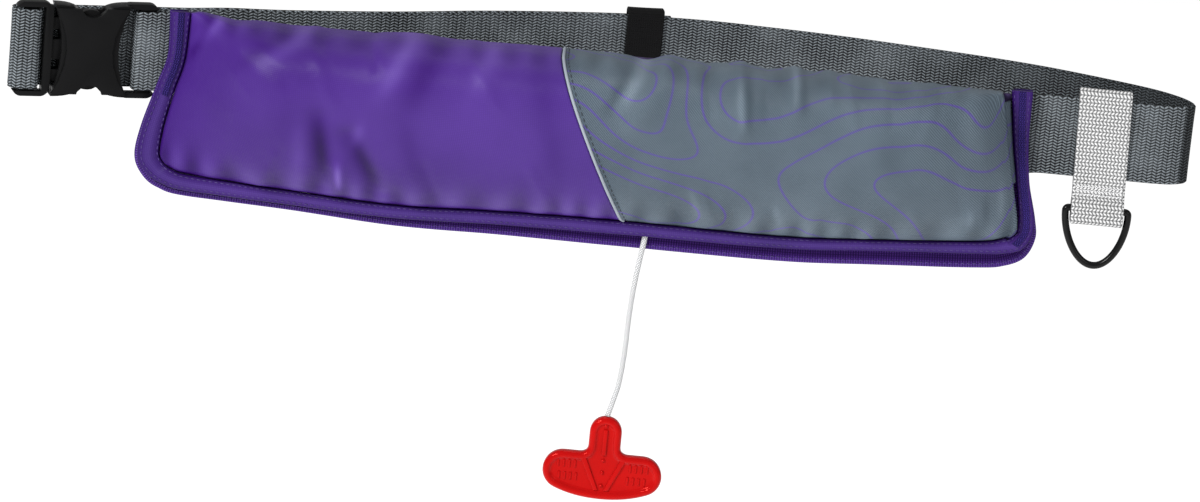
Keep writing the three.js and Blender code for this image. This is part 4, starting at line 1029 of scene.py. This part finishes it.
def contours(tree):
    """Thin printed level lines of one even width, in a wandering layout of our own."""
    along, up = pattern_place(tree)
    step = 0.0006

    def level(shift_along, shift_up):
        spot = add(tree, "CombineXYZ", {0: calc(tree, "ADD", along, shift_along),
                                        1: calc(tree, "ADD", up, shift_up), 2: 0.37})
        cloud = add(tree, "TexNoise", {"Vector": spot.outputs[0], "Scale": 14.0, "Detail": 0.0})
        return calc(tree, "MULTIPLY", cloud.outputs[0], 14.0)

    here, right, above = level(0.0, 0.0), level(step, 0.0), level(0.0, step)
    slope_x = calc(tree, "DIVIDE", calc(tree, "SUBTRACT", right, here), step)
    slope_y = calc(tree, "DIVIDE", calc(tree, "SUBTRACT", above, here), step)
    slope = calc(tree, "SQRT", calc(tree, "ADD", calc(tree, "MULTIPLY", slope_x, slope_x),
                                    calc(tree, "MULTIPLY_ADD", slope_y, slope_y, 100.0)))
    off = calc(tree, "ABSOLUTE", calc(tree, "SUBTRACT", calc(tree, "FRACT", here), 0.5))
    away = calc(tree, "DIVIDE", off, slope)
    ink = calc(tree, "SUBTRACT", 1.5, calc(tree, "DIVIDE", away, 0.0005))
    return calc(tree, "MULTIPLY", add(tree, "Clamp", {0: ink}).outputs[0], 0.7)


purple_cloth = coated_cloth("purple_cloth", (58, 32, 106), (84, 52, 142), 0.4, False, 0.00005)
grey_cloth = coated_cloth("grey_cloth", (44, 56, 66), (105, 119, 131), 0.4, True, 0.0002,
                          lines=contours)


def cloth_piece(name, points, shade, finish, node):
    """A sheet whose faces look to the front, with a wall behind it, and its flat size."""
    uv = cloth_map(points)
    thing = as_piece(name, surface(points, uv, shade=shade), finish, node)
    if sum(face.normal.y * face.area for face in thing.data.polygons) > 0:
        thing.data.flip_normals()
    wall = thing.modifiers.new("wall", "SOLIDIFY")
    wall.thickness = 1.2 * MM
    wall.offset = -1
    return thing, tuple(np.ptp(uv.reshape(-1, 2), axis=0) * MM)


def cover_piece(name, share_at, lift_at, finish, node):
    t, v = shares(190, 84)
    u = share_at(t, v)
    points = curl(cover(u, v, cover_wall, lift_at(u, v)))
    thing, flat = cloth_piece(name, points, cover_shade(u, v), finish, node)


cover_piece("purple_cover", lambda t, v: t * seam_share(v, -gap / 2), lambda u, v: 0 * u, purple_cloth,
            "cover_left")
cover_piece("grey_cover", right_share, right_lift, grey_cloth, "cover_right")


# Closure flap
# The second layer of grey coated nylon that shows under the free right end of the cover,
# where the pouch opens. It lies folded over the bladder.

t, s = shares(17, 49)
flap_points = skin(1 - flap_share * (1 - t), 0.3 + 0.42 * s)
flap_points[..., 1] -= cover_wall
# Painted shade: the flap is a little darker all over
flap, flat = cloth_piece("grey_flap", curl(flap_points), 0 * t - 0.2, grey_cloth,
                         "closure_flap")


# Closure strips
# Narrow strips of navy woven tape, sewn on the side bands where the pouch's front tears
# open.

strip_width, strip_thick, left_strip_foot, right_strip_foot = 3.2, 0.7, 2.2, 16.4
navy_strip = webbing("navy_strip", (20, 12, 58), (72, 52, 140), 0.0011, 0.0022, 0.7, 0.0004, 0.8)


def strip_back(row):
    return band_face(row) - gap


def strip_inset(row):
    return rise_at(row) + (band_at(row) - strip_width) / 2


for title, node, start, stop in (("left_strip", "closure_strip_left", 0, left_strip_foot),
                                 ("right_strip", "closure_strip_right", right_strip_foot, last_row)):
    strip_made = rim_strip(start, stop, strip_inset, lambda r: strip_inset(r) + strip_width,
                           strip_back, lambda r: strip_back(r) - strip_thick, step=1.0)
    as_piece(title, strip_made, navy_strip, node)


# Seam and stitching
# The covers' slanting seam has a narrow grey welt with a topstitch beside it. The band and
# the binding are topstitched, and the tab has its own stitching.

def stitched(name, paths, finish, pitch=3.2, length=2.3, radius=0.28):
    """Rows of single stitches lying along paths in millimetres."""
    bm = bmesh.new()
    for path in paths:
        line, _ = evenly(path, pitch)
        for a, b in zip(line[:-1], line[1:]):
            along = Vector(b - a).normalized()
            side = along.cross(Vector((0, -1, 0))).normalized()
            turn = Matrix((along, side, along.cross(side))).transposed().to_4x4()
            size = Matrix.Diagonal((length / 2 * MM, radius * MM, radius * MM, 1))
            where = Matrix.Translation(Vector((a + b) / 2) * MM)
            bmesh.ops.create_uvsphere(bm, u_segments=6, v_segments=5, radius=1,
                                      matrix=where @ turn @ size)
    as_piece(name, bm, finish)


def thread(name, dark, light):
    return moulded(name, dark, light, 0.6, 3000, 0.00005)


v = np.linspace(0.0, 0.98, 160)
seam_u = seam_share(v, 0.9)
welt_path = curl(cover(seam_u, v, cover_wall + 0.1))
welt_cloth = thread("welt_cloth", (120, 130, 140), (160, 168, 176))
along = unit(np.gradient(welt_path, axis=0))
side = unit(np.cross(along, (0, -1.0, 0.15)))
welt_made = round_tube(welt_path, side, np.cross(side, along), 0.75, 8)
as_piece("seam_welt", welt_made, welt_cloth)
grey_thread = thread("grey_thread", (22, 28, 34), (48, 56, 64))
purple_thread = thread("purple_thread", (36, 20, 74), (72, 46, 124))
seam_path = curl(cover(seam_share(v, 3.1), v, cover_wall + 0.15))
stitched("seam_stitches", [seam_path], grey_thread)
rim_rows = np.linspace(0.1, last_row - 0.1, 900)


def rim_path(insets, levels):
    place = rim_point(rim_rows, insets)
    return curl(np.stack([place[:, 0], levels, place[:, 1]], 1))


stitch_level = band_face(rim_rows) - 0.1
band_inner = rise_at(rim_rows) + band_at(rim_rows) - 1.1
stitched("band_stitches", [rim_path(rise_at(rim_rows) + 1.5, stitch_level),
                           rim_path(band_inner, stitch_level)],
         purple_thread, pitch=2.8, length=2.0)
stitched("binding_stitches", [rim_path(always(2.2)(rim_rows), always(panel_front_y)(rim_rows)),
                              rim_path(always(6.5)(rim_rows), always(panel_back_y)(rim_rows))],
         purple_thread, pitch=2.8, length=2.0)
white_thread = thread("white_thread", (190, 190, 192), (250, 250, 250))
tack_front = front_run_y - sewn_half - tab_thick / 2
tack_half, tack_pitch, tack_rise, tack_turns = tab_width / 2 - 1.5, 1.9, 0.9, 23
tack_paths = []
for row in range(3):
    zig = stitch_top - 0.8 - row * tack_pitch + tack_rise * (np.arange(tack_turns) % 2)
    x = tab_x + np.linspace(-tack_half, tack_half, tack_turns) + tab_lean * (tab_top - zig)
    for level in (tack_front, 2 * front_run_y - tack_front):
        tack_paths.append(np.stack([x, np.full(tack_turns, level), zig], 1))
stitched("tab_stitches", tack_paths, white_thread, pitch=1.5, length=1.6, radius=0.3)


# Studio
# A plain pale floor well below the hanging pack, a pale surround, and soft light from
# three large panels: a strong one from the front left and two weak ones.

floor_bm = bmesh.new()
bmesh.ops.create_grid(floor_bm, x_segments=1, y_segments=1, size=9.0,
                      matrix=Matrix.Translation((0, 3, -0.55)))
floor_finish, tree, shader = finish_named("floor_finish", 0.9, Emission_Color=(1, 1, 1, 1),
                                          Emission_Strength=0.62)
tint(tree, shader, (0.88, 0.88, 0.88, 1), (0.94, 0.94, 0.94, 1), speckle(tree, 2))
floor = placed("floor", floor_bm, floor_finish)

world = bpy.data.worlds.new("studio")
scene.world = world
world.use_nodes = True
world.node_tree.nodes["Background"].inputs[0].default_value = (1, 1, 1, 1)
world.node_tree.nodes["Background"].inputs[1].default_value = 0.35


def panel_light(name, place, target, size, power):
    data = bpy.data.lights.new(name, "AREA")
    data.shape = "RECTANGLE"
    data.size, data.size_y = size
    data.energy = power
    made = bpy.data.objects.new(name, data)
    scene.collection.objects.link(made)
    made.location = place
    made.rotation_euler = (Vector(target) - Vector(place)).to_track_quat("-Z", "Y").to_euler()


panel_light("key_light", (-1.1, -1.4, 1.0), (0, 0, -0.05), (0.8, 0.6), 40)
panel_light("fill_light", (1.4, -1.5, 0.7), (0, 0, -0.05), (1.0, 1.0), 6)
panel_light("top_light", (0.2, 0.3, 1.7), (0, 0, 0), (1.6, 0.8), 6)
scene.view_settings.view_transform = "Standard"
